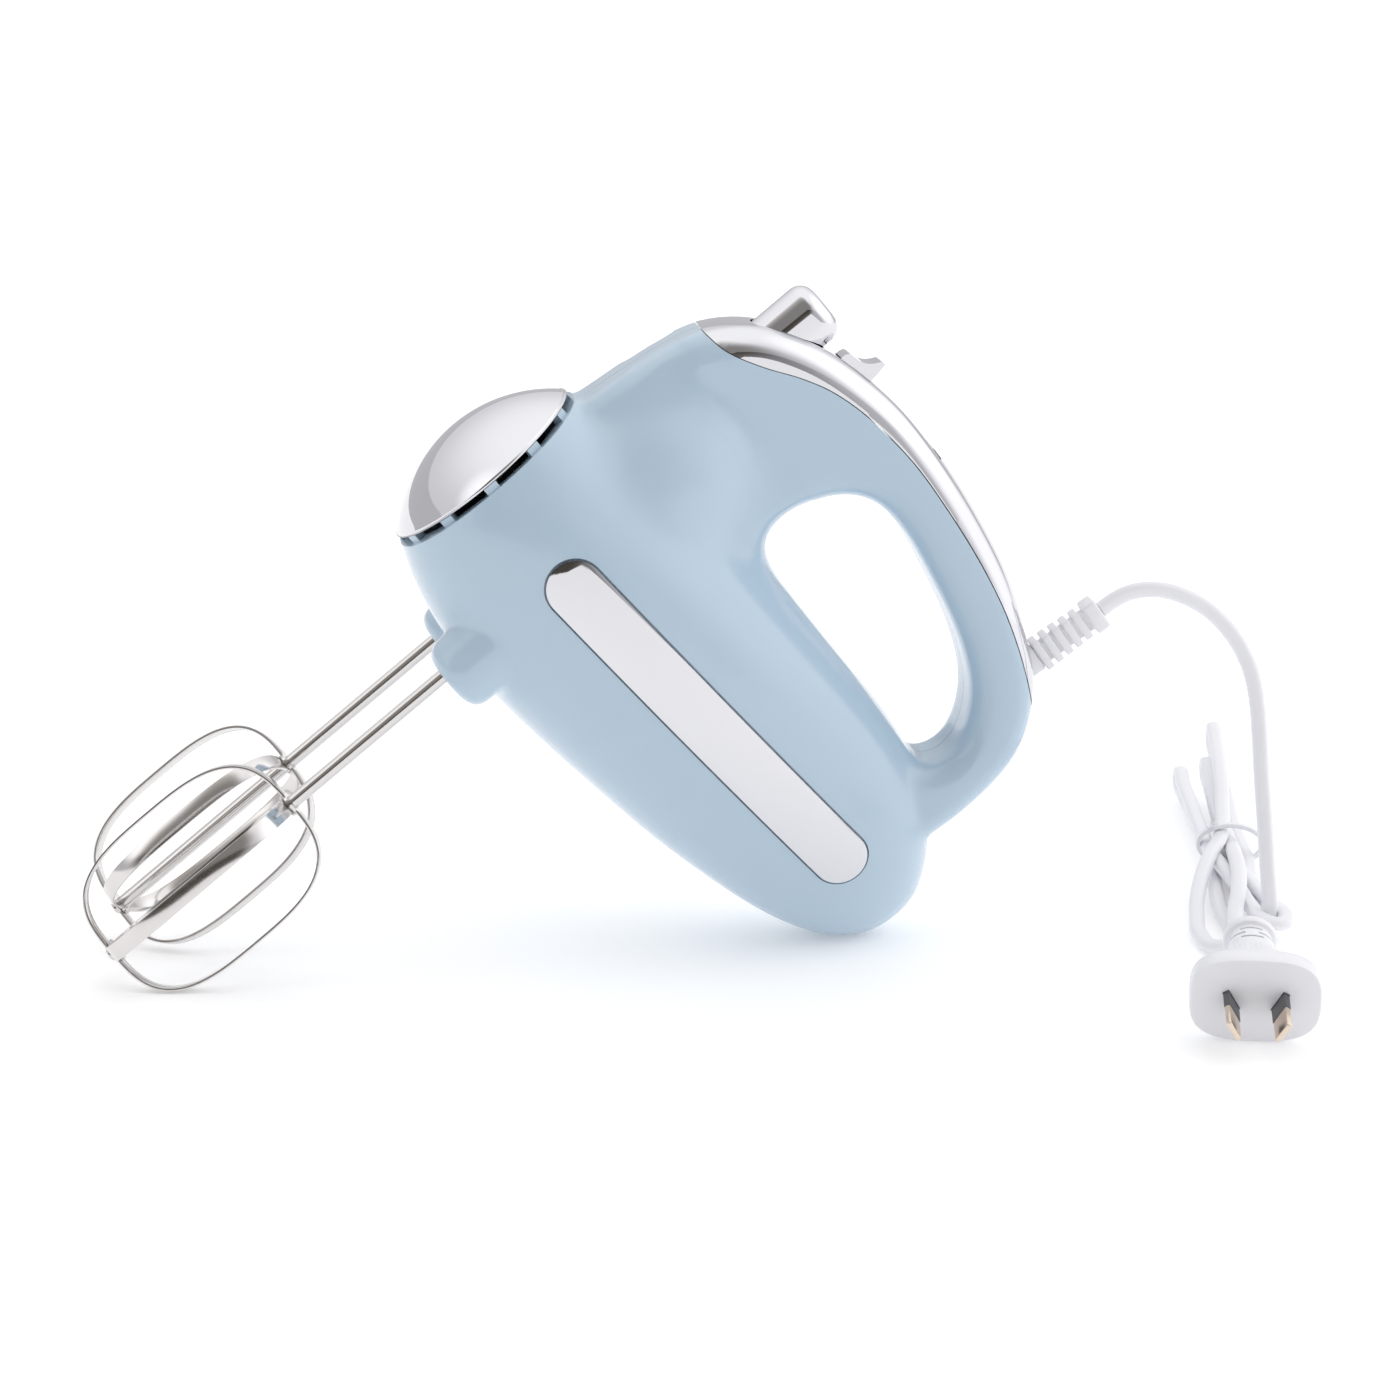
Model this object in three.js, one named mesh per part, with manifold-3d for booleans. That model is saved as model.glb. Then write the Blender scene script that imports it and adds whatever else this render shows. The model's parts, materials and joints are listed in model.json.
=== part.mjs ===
// Hand mixer, leaning on its heel and its two beaters, with its tied lead and plug.
// Millimetres. Outer frame: +Z up, floor at z = 0, +X towards the tail, origin under the middle.
// Mixer frame (the inner group): x = 0 is the line of the two spindles, +x towards the tail,
// +z up through the handle, -y the left half. The inner group is tipped about y to lean.
import * as THREE from 'three';
import { mergeVertices } from 'three/addons/utils/BufferGeometryUtils.js';
import Module from 'manifold-3d';

const wasm = await Module();
wasm.setup();

// ---- driving dimensions ----
const GAP = 0.3;                  // clearance between touching pieces
const WALL = 2.2;                 // moulded wall
const NOSE_X = -34.6;             // front lip of the housing
const AXIS_Z = 46;                // motor axis height
const DOME_R = 32.7;              // nose dome rim radius
const DOME_RISE = 13.5;           // nose dome bulge
const DOME_WALL = 1.5;
const VENT_WIDTH = 2.4;           // slot between lip and dome
const VENT_COUNT = 12;
const HANDLE_HALF = 16.5;          // half width of the handle
const HANDLE_ROUND = 8.2;          // edge rounding of the handle
const SPINDLE_Y = 20.7;           // half the spacing of the spindles
const BOSS_R = 11.6;              // beater boss radius
const BOSS_X = 2.6;
const BOSS_BOTTOM = -1.6;
const BEATER_R = 25.3;            // half width of a beater
const LOOP_TOP = -60;             // where the beater strips leave the rod
const LOOP_BOTTOM = -130;
const STRIP_WIDTH = 5;
const STRIP_THICK = 0.9;
const ROD_R = 2.1;
const BEATER_PHASES = { left: -12.5, right: -32.5 };   // degrees; they add to -45 so the wings intermesh
const WORM_R = 4.6;
const WHEEL_R = 15.4;             // worm wheel, outside
const WHEEL_TEETH = 20;
const SPINDLE_R = 4.8;
const SHAFT_R = 2.6;
const BEARING_R = 7;
const CORD_D = 5;
const PLUG_TILT = THREE.MathUtils.degToRad(9);
const PLUG_TURN = THREE.MathUtils.degToRad(14);
const SCREW_PLACES = [[143, 51], [132, 104], [97, 128], [-19, 110], [84, 20]];

const SIDES = { left: -1, right: 1 };

// ---- materials ----
function finish(colour, roughness, metalness) {
  return new THREE.MeshStandardMaterial({ color: colour, roughness, metalness });
}
const shellBlue = finish(0xb7cfde, 0.22, 0);
const chrome = finish(0xd8d9dc, 0.08, 1);
const steel = finish(0xc9c8c6, 0.18, 1);
const darkSteel = finish(0x6f7276, 0.4, 1);
const copper = finish(0xb5643a, 0.35, 1);
const brass = finish(0xc0a060, 0.3, 1);
const carbon = finish(0x2a2a2b, 0.7, 0);
const nylon = finish(0xe6e2d6, 0.45, 0);
const blackPlastic = finish(0x232426, 0.5, 0);
const boardGreen = finish(0x3b6b48, 0.5, 0);
const whiteVinyl = finish(0xe9e9ee, 0.4, 0);

// ---- solids from geometries ----
function toSolid(geometry) {
  const bare = geometry.clone();
  bare.deleteAttribute('normal');
  bare.deleteAttribute('uv');
  const merged = mergeVertices(bare, 1e-4);
  const corners = merged.index.array;
  const kept = [];
  for (let i = 0; i < corners.length; i += 3) {
    const [a, b, c] = corners.slice(i, i + 3);
    if (a !== b && b !== c && c !== a) {
      kept.push(a, b, c);
    }
  }
  return new wasm.Manifold(new wasm.Mesh({
    numProp: 3,
    vertProperties: new Float32Array(merged.attributes.position.array),
    triVerts: new Uint32Array(kept),
  }));
}

function toGeometry(solid) {
  const mesh = solid.getMesh();
  const geometry = new THREE.BufferGeometry();
  geometry.setAttribute('position', new THREE.BufferAttribute(mesh.vertProperties, 3));
  geometry.setIndex(new THREE.BufferAttribute(mesh.triVerts, 1));
  return geometry;
}

function unite(first, ...others) {
  return others.reduce((sum, solid) => sum.add(solid), first);
}

function cutAway(first, ...others) {
  return others.reduce((rest, solid) => rest.subtract(solid), first);
}

function box(x0, x1, y0, y1, z0, z1) {
  const geometry = new THREE.BoxGeometry(x1 - x0, y1 - y0, z1 - z0);
  return geometry.translate((x0 + x1) / 2, (y0 + y1) / 2, (z0 + z1) / 2);
}

// Box on one side of the mid-plane, from near to far in y.
function sideBox(side, x0, x1, near, far, z0, z1) {
  return box(x0, x1, Math.min(side * near, side * far), Math.max(side * near, side * far), z0, z1);
}

function rodX(radius, x0, x1, y = 0, z = AXIS_Z, sides = 24) {
  const geometry = new THREE.CylinderGeometry(radius, radius, x1 - x0, sides);
  return geometry.rotateZ(-Math.PI / 2).translate((x0 + x1) / 2, y, z);
}

function rodY(radius, y0, y1, x, z, sides = 16) {
  const geometry = new THREE.CylinderGeometry(radius, radius, y1 - y0, sides);
  return geometry.translate(x, (y0 + y1) / 2, z);
}

function rodZ(radius, z0, z1, x = 0, y = 0, sides = 20) {
  const geometry = new THREE.CylinderGeometry(radius, radius, z1 - z0, sides);
  return geometry.rotateX(Math.PI / 2).translate(x, y, (z0 + z1) / 2);
}

// Turned piece: profile of [radius, height] pairs, closed on itself, about the z axis.
function turned(profile, sides = 24) {
  const points = profile.map(([radius, height]) => new THREE.Vector2(radius, height));
  if (profile[0][0] > 0) {
    points.push(points[0].clone());
  }
  return new THREE.LatheGeometry(points, sides).rotateX(Math.PI / 2);
}

// Bush or sleeve between two radii.
function ring(inner, outer, low, high, sides = 16) {
  return turned([[inner, low], [outer, low], [outer, high], [inner, high]], sides);
}

function alongX(geometry, x, z = AXIS_Z) {
  return geometry.rotateY(Math.PI / 2).translate(x, 0, z);
}

// Side profile drawn in x and z, given a thickness in y about the mid-plane.
function sideSlab(shape, halfWidth, round = 0, inset = 0, coarse = false) {
  const bevelled = round > 0;
  const depth = 2 * (halfWidth - round);
  const geometry = new THREE.ExtrudeGeometry(shape, {
    depth,
    steps: 1,
    curveSegments: coarse ? 1 : 2,
    bevelEnabled: bevelled,
    bevelThickness: round,
    bevelSize: round,
    bevelOffset: -round - inset,
    bevelSegments: coarse ? 2 : 3,
  });
  return geometry.translate(0, 0, -depth / 2).rotateX(Math.PI / 2);
}

function polygon(points) {
  return new THREE.Shape(points.map(([a, b]) => new THREE.Vector2(a, b)));
}

function roundedRectangle(width, height, radius) {
  const shape = new THREE.Shape();
  const w = width / 2;
  const h = height / 2;
  shape.moveTo(-w + radius, -h);
  shape.lineTo(w - radius, -h);
  shape.absarc(w - radius, -h + radius, radius, -Math.PI / 2, 0);
  shape.lineTo(w, h - radius);
  shape.absarc(w - radius, h - radius, radius, 0, Math.PI / 2);
  shape.lineTo(-w + radius, h);
  shape.absarc(-w + radius, h - radius, radius, Math.PI / 2, Math.PI);
  shape.lineTo(-w, -h + radius);
  shape.absarc(-w + radius, -h + radius, radius, Math.PI, 1.5 * Math.PI);
  return shape;
}

// ---- shape of the housing ----
// Motor body stations: x, underside, top, half width.
const BODY_STATIONS = [
  [NOSE_X, AXIS_Z - 33.2, AXIS_Z + 33.2, 33.2],
  [-24, 8.6, 83, 36.3],
  [-8, 4.8, 86, 38.8],
  [12, 3.6, 89, 39.8],
  [36, 5, 90, 39.5],
  [60, 7.6, 90, 38],
  [84, 10.8, 90, 35],
  [105, 15, 89, 31.5],
  [122, 19.4, 86, 27.5],
  [135, 24.4, 80, 23],
  [144.5, 30, 72.5, 17.5],
  [151.5, 37.5, 64.5, 11],
  [155.4, 46.5, 55.5, 4],
];

// Rounded hull lofted through the stations; grow moves its whole surface out or in.
function bodyHull(grow, radial = 28, rows = 16) {
  const heights = BODY_STATIONS.map(([x, low, high]) => new THREE.Vector3(x, low, high));
  const widths = BODY_STATIONS.map(([x, , , half]) => new THREE.Vector3(x, half, 0));
  const heightCurve = new THREE.CatmullRomCurve3(heights, false, 'catmullrom', 0.5);
  const widthCurve = new THREE.CatmullRomCurve3(widths, false, 'catmullrom', 0.5);
  const squareness = 2 / 2.25;
  const geometry = new THREE.CylinderGeometry(1, 1, 1, radial, rows);
  const place = geometry.attributes.position;
  for (let i = 0; i < place.count; i += 1) {
    const along = THREE.MathUtils.clamp(0.5 - place.getY(i), 0, 1);
    const reach = Math.hypot(place.getX(i), place.getZ(i));
    const angle = Math.atan2(place.getX(i), place.getZ(i));
    const station = heightCurve.getPoint(along);
    const half = widthCurve.getPoint(along).y + grow;
    const tall = (station.z - station.y) / 2 + grow;
    const across = Math.sign(Math.sin(angle)) * Math.abs(Math.sin(angle)) ** squareness;
    const up = Math.sign(Math.cos(angle)) * Math.abs(Math.cos(angle)) ** squareness;
    const end = (2 * along - 1) * grow;
    place.setXYZ(i, station.x + end, reach * half * across, (station.z + station.y) / 2 + reach * tall * up);
  }
  return geometry;
}

function handleProfile(coarse) {
  const top = [
    [-33, 78], [-31.4, 94], [-29.4, 109], [-25.5, 122], [-17, 133.5], [-5, 141.6], [9, 147], [28, 150.6], [48, 150.6],
    [70, 148.2], [92, 143.6], [110, 136.8], [122, 130.4], [131.6, 121], [137.6, 110], [140, 97], [140.4, 84],
  ];
  const shape = new THREE.Shape();
  shape.moveTo(-30, 48);
  shape.lineTo(top[0][0], top[0][1]);
  shape.splineThru(top.slice(1).map(([x, z]) => new THREE.Vector2(x, z)));
  shape.lineTo(137, 48);
  const grip = [
    [32.4, 101], [33.6, 111], [38.5, 121], [47, 127.4], [60, 128.6], [81, 125], [98, 120.4], [111, 114],
    [119.6, 105], [122.6, 95.5], [118.4, 88], [107, 88.3], [88, 89.6], [64, 90.2], [43, 91.2], [34.6, 95],
  ];
  const holeCurve = new THREE.CatmullRomCurve3(grip.map(([x, z]) => new THREE.Vector3(x, z, 0)), true);
  const rim = holeCurve.getPoints(coarse ? 20 : 28).slice(1).reverse();
  const hole = new THREE.Path(rim.map((point) => new THREE.Vector2(point.x, point.y)));
  shape.holes.push(hole);
  return shape;
}

function handleLoop(inset, coarse = false) {
  return sideSlab(handleProfile(coarse), HANDLE_HALF - inset, HANDLE_ROUND - inset, inset, coarse);
}

// Swelling that blends the narrow handle into the wide body.
function shoulder(grow, coarse) {
  const geometry = new THREE.SphereGeometry(1, coarse ? 14 : 20, coarse ? 8 : 12);
  return geometry.scale(31 + grow, 31 + grow, 44 + grow).translate(0.5, 0, 74);
}

function boss(side, grow) {
  const radius = BOSS_R + grow;
  const bottom = BOSS_BOTTOM - grow;
  const profile = [
    [0, bottom], [radius - 5, bottom], [radius - 1.5, bottom + 1.5], [radius, bottom + 5], [radius, 44], [0, 44],
  ];
  return turned(profile, 14).translate(BOSS_X, side * SPINDLE_Y, 0);
}

// Everything above the trim's lower edge, which sweeps back along the handle.
function trimRegion(drop) {
  const edge = [
    [-40, 119], [-27, 120.6], [-18, 122.4], [-8, 127.5], [2, 134], [12, 138.8], [25, 142], [43, 143.6], [61, 142.6],
    [79, 140.4], [95, 137.2], [108, 133.2], [119, 128.8], [130, 124.2], [150, 118],
  ];
  const shape = new THREE.Shape();
  shape.moveTo(edge[0][0], edge[0][1] - drop);
  shape.splineThru(edge.slice(1).map(([x, z]) => new THREE.Vector2(x, z - drop)));
  shape.lineTo(150, 175);
  shape.lineTo(-40, 175);
  return sideSlab(shape, 30);
}

// Stadium outline of the side band, drawn along the body and pushed through it.
const BAND_FRONT = [1, 45.5];
const BAND_REAR = [120, 51.5];
function bandPrism(side, radius) {
  const slope = Math.atan2(BAND_REAR[1] - BAND_FRONT[1], BAND_REAR[0] - BAND_FRONT[0]);
  const shape = new THREE.Shape();
  shape.absarc(BAND_REAR[0], BAND_REAR[1], radius, slope - Math.PI / 2, slope + Math.PI / 2);
  shape.absarc(BAND_FRONT[0], BAND_FRONT[1], radius, slope + Math.PI / 2, slope + 1.5 * Math.PI);
  const slab = sideSlab(shape, 20);
  return slab.translate(0, side * 30, 0);
}

const BUTTON_X = -7.2;
const SPRING_LOW = 108;
const SPRING_HIGH = 125;
function buttonOutline(grow) {
  return roundedRectangle(19.4 + 2 * grow, 16.4 + 2 * grow, 6.4 + grow);
}

function buttonHole() {
  const geometry = new THREE.ExtrudeGeometry(buttonOutline(GAP), { depth: 40, bevelEnabled: false });
  return geometry.translate(BUTTON_X, 0, 122);
}

const RELIEF_ROOT = new THREE.Vector3(119.6, 0, 126.5);
const RELIEF_LEAN = THREE.MathUtils.degToRad(4);
function reliefAxis(geometry) {
  return geometry.rotateY(RELIEF_LEAN).translate(RELIEF_ROOT.x, 0, RELIEF_ROOT.z);
}

// Slot that the speed slider's tab runs in, along the slope of the handle top.
const SLIDER_SLOPE = THREE.MathUtils.degToRad(7);
const SLIDER_X = 13.5;
const SLIDER_Z = 147.6;
function sliderAxis(geometry) {
  return geometry.rotateY(-SLIDER_SLOPE).translate(SLIDER_X, 0, SLIDER_Z);
}

function outerSkin(grow, coarse) {
  const hull = coarse ? bodyHull(grow, 18, 10) : bodyHull(grow);
  const parts = [hull, handleLoop(-grow, coarse), shoulder(grow, coarse), boss(-1, grow), boss(1, grow)];
  return unite(...parts.map(toSolid));
}

function ventTeeth() {
  const step = (2 * Math.PI) / VENT_COUNT;
  const collar = toSolid(alongX(ring(29.3, 31.6, -VENT_WIDTH + GAP, 1, 36), NOSE_X));
  const gaps = [];
  for (let i = 0; i < VENT_COUNT; i += 1) {
    const slot = new THREE.BoxGeometry(12, 12.6, 12).translate(0, 0, 31);
    slot.rotateX((i + 0.5) * step).translate(NOSE_X - 6, 0, AXIS_Z);
    gaps.push(toSolid(slot));
  }
  return cutAway(collar, ...gaps);
}

function screwPost(side, [x, z]) {
  return toSolid(rodY(3.8, side > 0 ? 0 : -40, side > 0 ? 40 : 0, x, z, 14));
}

// Shelf across the handle root that the eject spring stands on, with a window for the fork's stem.
function springSeat() {
  const shelf = toSolid(box(BUTTON_X - 8, BUTTON_X + 8, -16, 16, SPRING_LOW - 3, SPRING_LOW - 1));
  return shelf.subtract(toSolid(box(BUTTON_X - 3.6, BUTTON_X + 3.6, -3.6, 3.6, 90, 120)));
}

function housingHalf(side, skin, cavity, teeth) {
  const inside = unite(...SCREW_PLACES.map((place) => screwPost(side, place)), springSeat());
  const hollow = cavity.subtract(inside);
  const half = side > 0 ? box(-60, 170, GAP / 2, 60, -20, 175) : box(-60, 170, -60, -GAP / 2, -20, 175);
  let shell = skin.subtract(hollow).add(teeth).intersect(toSolid(half));
  shell = cutAway(
    shell,
    toSolid(rodX(29.3, NOSE_X - 5, NOSE_X + 4, 0, AXIS_Z, 36)),
    toSolid(trimRegion(GAP)),
    toSolid(rodZ(5.6, -10, 10, 0, side * SPINDLE_Y)),
    toSolid(reliefAxis(rodZ(5.6, -9, 25))),
    toSolid(bandPrism(side, 9)).subtract(toSolid(bodyHull(-1.4))),
  );
  for (const [x, z] of SCREW_PLACES) {
    const bores = side > 0
      ? [rodY(1.7, 0, 12, x, z, 12), rodY(3.4, 8, 50, x, z, 14)]
      : [rodY(1.7, -9, 0, x, z, 12)];
    shell = cutAway(shell, ...bores.map(toSolid));
  }
  const pieces = shell.decompose().sort((a, b) => b.volume() - a.volume());
  return toGeometry(pieces[0]);
}

// ---- chrome dress ----
function noseDome() {
  const rim = NOSE_X - VENT_WIDTH;
  const sphereR = (DOME_R ** 2 + DOME_RISE ** 2) / (2 * DOME_RISE);
  const steps = 6;
  const outer = [];
  for (let i = 0; i <= steps; i += 1) {
    const radius = DOME_R * Math.sin((i / steps) * (Math.PI / 2));
    outer.push([radius, Math.sqrt(sphereR ** 2 - radius ** 2) - sphereR + DOME_RISE]);
  }
  const inner = outer.slice(0, -2).map(([radius, height]) => [radius * 0.95, height - DOME_WALL]);
  const cap = toSolid(turned([...inner, [DOME_R - DOME_WALL, 0], ...outer.reverse()], 28));
  const legs = [0.25, 1.25, 2.25, 3.25].map((turn) => {
    const leg = new THREE.BoxGeometry(6, 1.4, 9).translate(0, 28.2, -2.5);
    return toSolid(leg.rotateZ(turn * Math.PI / 2));
  });
  const joined = toGeometry(unite(cap, ...legs));
  return joined.rotateY(-Math.PI / 2).translate(rim, 0, AXIS_Z);
}

function handleTrim() {
  const shell = toSolid(handleLoop(0)).intersect(toSolid(trimRegion(0)));
  const bay = toSolid(handleLoop(WALL, true));
  const slot = sliderAxis(box(-6.5, 24, -5, 5, -12, 12));
  const trim = cutAway(
    shell,
    bay,
    toSolid(buttonHole()),
    toSolid(slot),
    toSolid(inlayPrism(0)).subtract(toSolid(handleLoop(0.9))),
    toSolid(reliefAxis(rodZ(5.6, -9, 25))),
  );
  return toGeometry(trim.decompose().sort((a, b) => b.volume() - a.volume())[0]);
}

function inlayPrism(shrink) {
  const outline = roundedRectangle(66 - 2 * shrink, 13 - 2 * shrink, 6.4 - shrink);
  const geometry = new THREE.ExtrudeGeometry(outline, { depth: 40, bevelEnabled: false, curveSegments: 8 });
  return geometry.translate(78, 0, 130);
}

function handleInlay() {
  const strip = toSolid(inlayPrism(GAP)).intersect(toSolid(handleLoop(-0.5)));
  return toGeometry(strip.subtract(toSolid(handleLoop(0.6))));
}

function sideBand(side) {
  const plate = toSolid(bandPrism(side, 9 - GAP)).intersect(toSolid(bodyHull(0.4)));
  return toGeometry(plate.subtract(toSolid(bodyHull(-1))));
}

// ---- eject button and its train ----
function ejectButton() {
  const geometry = new THREE.ExtrudeGeometry(buttonOutline(-3), {
    depth: 21,
    bevelEnabled: true,
    bevelThickness: 3,
    bevelSize: 3,
    bevelSegments: 3,
    curveSegments: 3,
  });
  return geometry.translate(BUTTON_X, 0, 129);
}

const FORK_Z = 90;
function ejectorFork() {
  const bar = toSolid(box(-3.5, 3.5, -24, 24, FORK_Z, FORK_Z + 3));
  const stem = toSolid(box(BUTTON_X - 3, BUTTON_X + 3, -3, 3, FORK_Z, 126 - GAP));
  const foot = toSolid(box(BUTTON_X - 3, 3.5, -3, 3, FORK_Z, FORK_Z + 3));
  const legs = Object.values(SIDES).map((side) => toSolid(rodZ(3, 79, FORK_Z + 1, 0, side * SPINDLE_Y, 12)));
  return toGeometry(unite(bar, stem, foot, ...legs));
}

class Helix extends THREE.Curve {
  constructor(radius, low, high, turns) {
    super();
    Object.assign(this, { radius, low, high, turns });
  }

  getPoint(t) {
    const angle = 2 * Math.PI * this.turns * t;
    const height = this.low + (this.high - this.low) * t;
    return new THREE.Vector3(this.radius * Math.cos(angle), this.radius * Math.sin(angle), height);
  }
}

function circleShape(radius, sides) {
  const points = [];
  for (let i = 0; i < sides; i += 1) {
    const angle = (2 * Math.PI * i) / sides;
    points.push(new THREE.Vector2(radius * Math.cos(angle), radius * Math.sin(angle)));
  }
  return new THREE.Shape(points);
}

function ejectSpring() {
  const coil = new THREE.ExtrudeGeometry(circleShape(0.6, 5), {
    steps: 36,
    extrudePath: new Helix(5.6, SPRING_LOW, SPRING_HIGH, 4),
    bevelEnabled: false,
  });
  return coil.translate(BUTTON_X, 0, 0);
}

function ejectorPin(side) {
  const profile = [[0, 44], [1.6, 44], [1.6, 76], [3, 76], [3, 78.6], [0, 78.6]];
  return turned(profile, 16).translate(0, side * SPINDLE_Y, 0);
}

// ---- speed control ----
function speedSlider() {
  const ramp = [[-5, -1], [4.6, -1], [5, 6.4], [3.6, 7], [1.4, 4.8], [-2.2, 2.6], [-5, 2.2]];
  const tab = sideSlab(polygon(ramp), 4.5);
  const plate = box(-6, 7, -7, 7, -5, -3.4);
  const neck = box(-3, 3, -3, 3, -4, 0);
  const contact = box(-2.5, 2.5, -1.5, 1.5, -9, -4);
  return sliderAxis(toGeometry(unite(...[tab, plate, neck, contact].map(toSolid))));
}

function speedSwitch() {
  return toGeometry(cutAway(
    toSolid(box(6, 44, -8, 8, 129.6, 138.2)),
    toSolid(box(9, 41, -4, 4, 136.4, 139)),
  ));
}

// ---- motor ----
function statorCore() {
  const outline = roundedRectangle(56, 50, 13);
  const block = new THREE.ExtrudeGeometry(outline, { depth: 28, bevelEnabled: false, curveSegments: 4 });
  const core = toSolid(alongX(block, 36));
  const bore = toSolid(rodX(14.2, 30, 70, 0, AXIS_Z, 32));
  const windows = Object.values(SIDES).flatMap((side) => [
    sideBox(side, 30, 70, 8, 20, AXIS_Z + 15.4, AXIS_Z + 22),
    sideBox(side, 30, 70, 8, 20, AXIS_Z - 22, AXIS_Z - 15.4),
    sideBox(side, 30, 70, 13, 20, AXIS_Z - 16, AXIS_Z + 16),
  ]);
  return toGeometry(cutAway(core, bore, ...windows.map(toSolid)));
}

function fieldCoil(side) {
  const outline = roundedRectangle(36.4, 34, 6);
  outline.holes.push(new THREE.Path(roundedRectangle(28.8, 16.8, 1).getPoints(3)));
  const coil = new THREE.ExtrudeGeometry(outline, { depth: 5.6, bevelEnabled: false, curveSegments: 4 });
  return coil.translate(50, 0, side > 0 ? AXIS_Z + 15.9 : AXIS_Z - 21.5);
}

function armatureCore() {
  const slots = 10;
  const points = [];
  for (let i = 0; i < slots; i += 1) {
    for (const [share, radius] of [[0.02, 13.4], [0.78, 13.4], [0.8, 9], [0.98, 9]]) {
      const angle = ((i + share) * 2 * Math.PI) / slots;
      points.push(new THREE.Vector2(radius * Math.cos(angle), radius * Math.sin(angle)));
    }
  }
  const shape = new THREE.Shape(points);
  shape.holes.push(new THREE.Path(circleShape(SHAFT_R + GAP, 16).getPoints()));
  const core = new THREE.ExtrudeGeometry(shape, { depth: 28, bevelEnabled: false });
  return alongX(core, 36);
}

function endWinding(x) {
  const bore = SHAFT_R + GAP;
  return alongX(turned([[bore, 0], [10, 0], [11.5, 1.6], [11, 4.4], [8, 6], [bore, 6]]), x);
}

function motorShaft() {
  return rodX(SHAFT_R, -33, 97, 0, AXIS_Z, 16);
}

function fan() {
  const hub = toSolid(alongX(ring(SHAFT_R + GAP, 7, -31, -24), 0));
  const blades = [];
  for (let i = 0; i < 9; i += 1) {
    const blade = new THREE.BoxGeometry(5, 1.2, 18).rotateZ(0.5).translate(-27.5, 0, 14.5);
    blades.push(toSolid(blade.rotateX((i * 2 * Math.PI) / 9).translate(0, 0, AXIS_Z)));
  }
  const plate = toSolid(alongX(ring(SHAFT_R + GAP, 23.5, -25, -24, 24), 0));
  return toGeometry(unite(hub, plate, ...blades));
}

function worm() {
  const threads = 4;
  const profile = [[SHAFT_R + GAP, -11]];
  for (let i = 0; i < threads; i += 1) {
    const start = -11 + (22 * i) / threads;
    profile.push([WORM_R - 1, start], [WORM_R, start + 1], [WORM_R, start + 1.8], [WORM_R - 1, start + 2.8]);
  }
  profile.push([WORM_R - 1, 11], [SHAFT_R + GAP, 11]);
  return alongX(turned(profile, 12), 0);
}

// ---- gear train ----
function wormWheel(side) {
  const points = [];
  for (let i = 0; i < WHEEL_TEETH; i += 1) {
    for (const [share, radius] of [[0, WHEEL_R - 1.2], [0.3, WHEEL_R - 1.2], [0.5, WHEEL_R], [0.8, WHEEL_R]]) {
      const angle = ((i + share) * 2 * Math.PI) / WHEEL_TEETH;
      points.push(new THREE.Vector2(radius * Math.cos(angle), radius * Math.sin(angle)));
    }
  }
  const shape = new THREE.Shape(points);
  shape.holes.push(new THREE.Path(circleShape(SPINDLE_R + GAP, 16).getPoints()));
  const wheel = new THREE.ExtrudeGeometry(shape, { depth: 9, bevelEnabled: false });
  return wheel.translate(0, side * SPINDLE_Y, AXIS_Z - 4.5);
}

function spindle(side) {
  return ring(ROD_R + 0.5, SPINDLE_R, 2, 62, 20).translate(0, side * SPINDLE_Y, 0);
}

function gearPlate(low, high, web) {
  const plate = new THREE.ExtrudeGeometry(roundedRectangle(44, 60, 8), {
    depth: high - low,
    bevelEnabled: false,
    curveSegments: 5,
  });
  const webs = web.map(([x0, x1, z0, z1]) => toSolid(box(x0, x1, -9, 9, z0, z1)));
  const bores = Object.values(SIDES).map((side) => rodZ(SPINDLE_R + GAP, low - 1, high + 1, 0, side * SPINDLE_Y, 16));
  return toGeometry(cutAway(
    unite(toSolid(plate.translate(2, 0, low)), ...webs),
    ...bores.map(toSolid),
    toSolid(rodX(BEARING_R + GAP, -24, 30, 0, AXIS_Z, 24)),
  ));
}

function gearboxBase() {
  return gearPlate(28, 31, [[-19, -14, 30, AXIS_Z - GAP], [17, 22, 30, AXIS_Z - GAP]]);
}

function gearboxCover() {
  return gearPlate(61 - 3, 61, [[-19, -14, AXIS_Z + GAP, 59], [17, 22, AXIS_Z + GAP, 59]]);
}

function bearing(x) {
  return alongX(ring(SHAFT_R + GAP, BEARING_R, 0, 5), x);
}

function motorBracket() {
  const plate = toSolid(box(90, 93, -24, 24, AXIS_Z - 17, AXIS_Z + 17));
  const hub = toSolid(rodX(10, 88, 94, 0, AXIS_Z, 24));
  const legs = Object.values(SIDES).map((side) => toSolid(box(68, 93, side * 22.5 - 1.5, side * 22.5 + 1.5, 38, 54)));
  return toGeometry(cutAway(unite(plate, hub, ...legs), toSolid(rodX(BEARING_R + GAP, 80, 100, 0, AXIS_Z, 24))));
}

function brushHolder(side) {
  const tube = sideBox(side, 75, 83, 9, 20.6, AXIS_Z - 4, AXIS_Z + 4);
  const bore = sideBox(side, 76.2, 81.8, 0, 30, AXIS_Z - 2.8, AXIS_Z + 2.8);
  return toGeometry(toSolid(tube).subtract(toSolid(bore)));
}

function brush(side) {
  return sideBox(side, 76.5, 81.5, 8.5, 18, AXIS_Z - 2.5, AXIS_Z + 2.5);
}

// ---- beaters ----
function loopOutline(half, low, high) {
  const power = 2 / 3.1;
  const points = [];
  const steps = 24;
  for (let i = 0; i < steps; i += 1) {
    const angle = (2 * Math.PI * i) / steps;
    const across = Math.sign(Math.cos(angle)) * Math.abs(Math.cos(angle)) ** power;
    const up = Math.sign(Math.sin(angle)) * Math.abs(Math.sin(angle)) ** power;
    points.push(new THREE.Vector2(half * across, (low + high) / 2 + ((high - low) / 2) * up));
  }
  return points;
}

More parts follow.
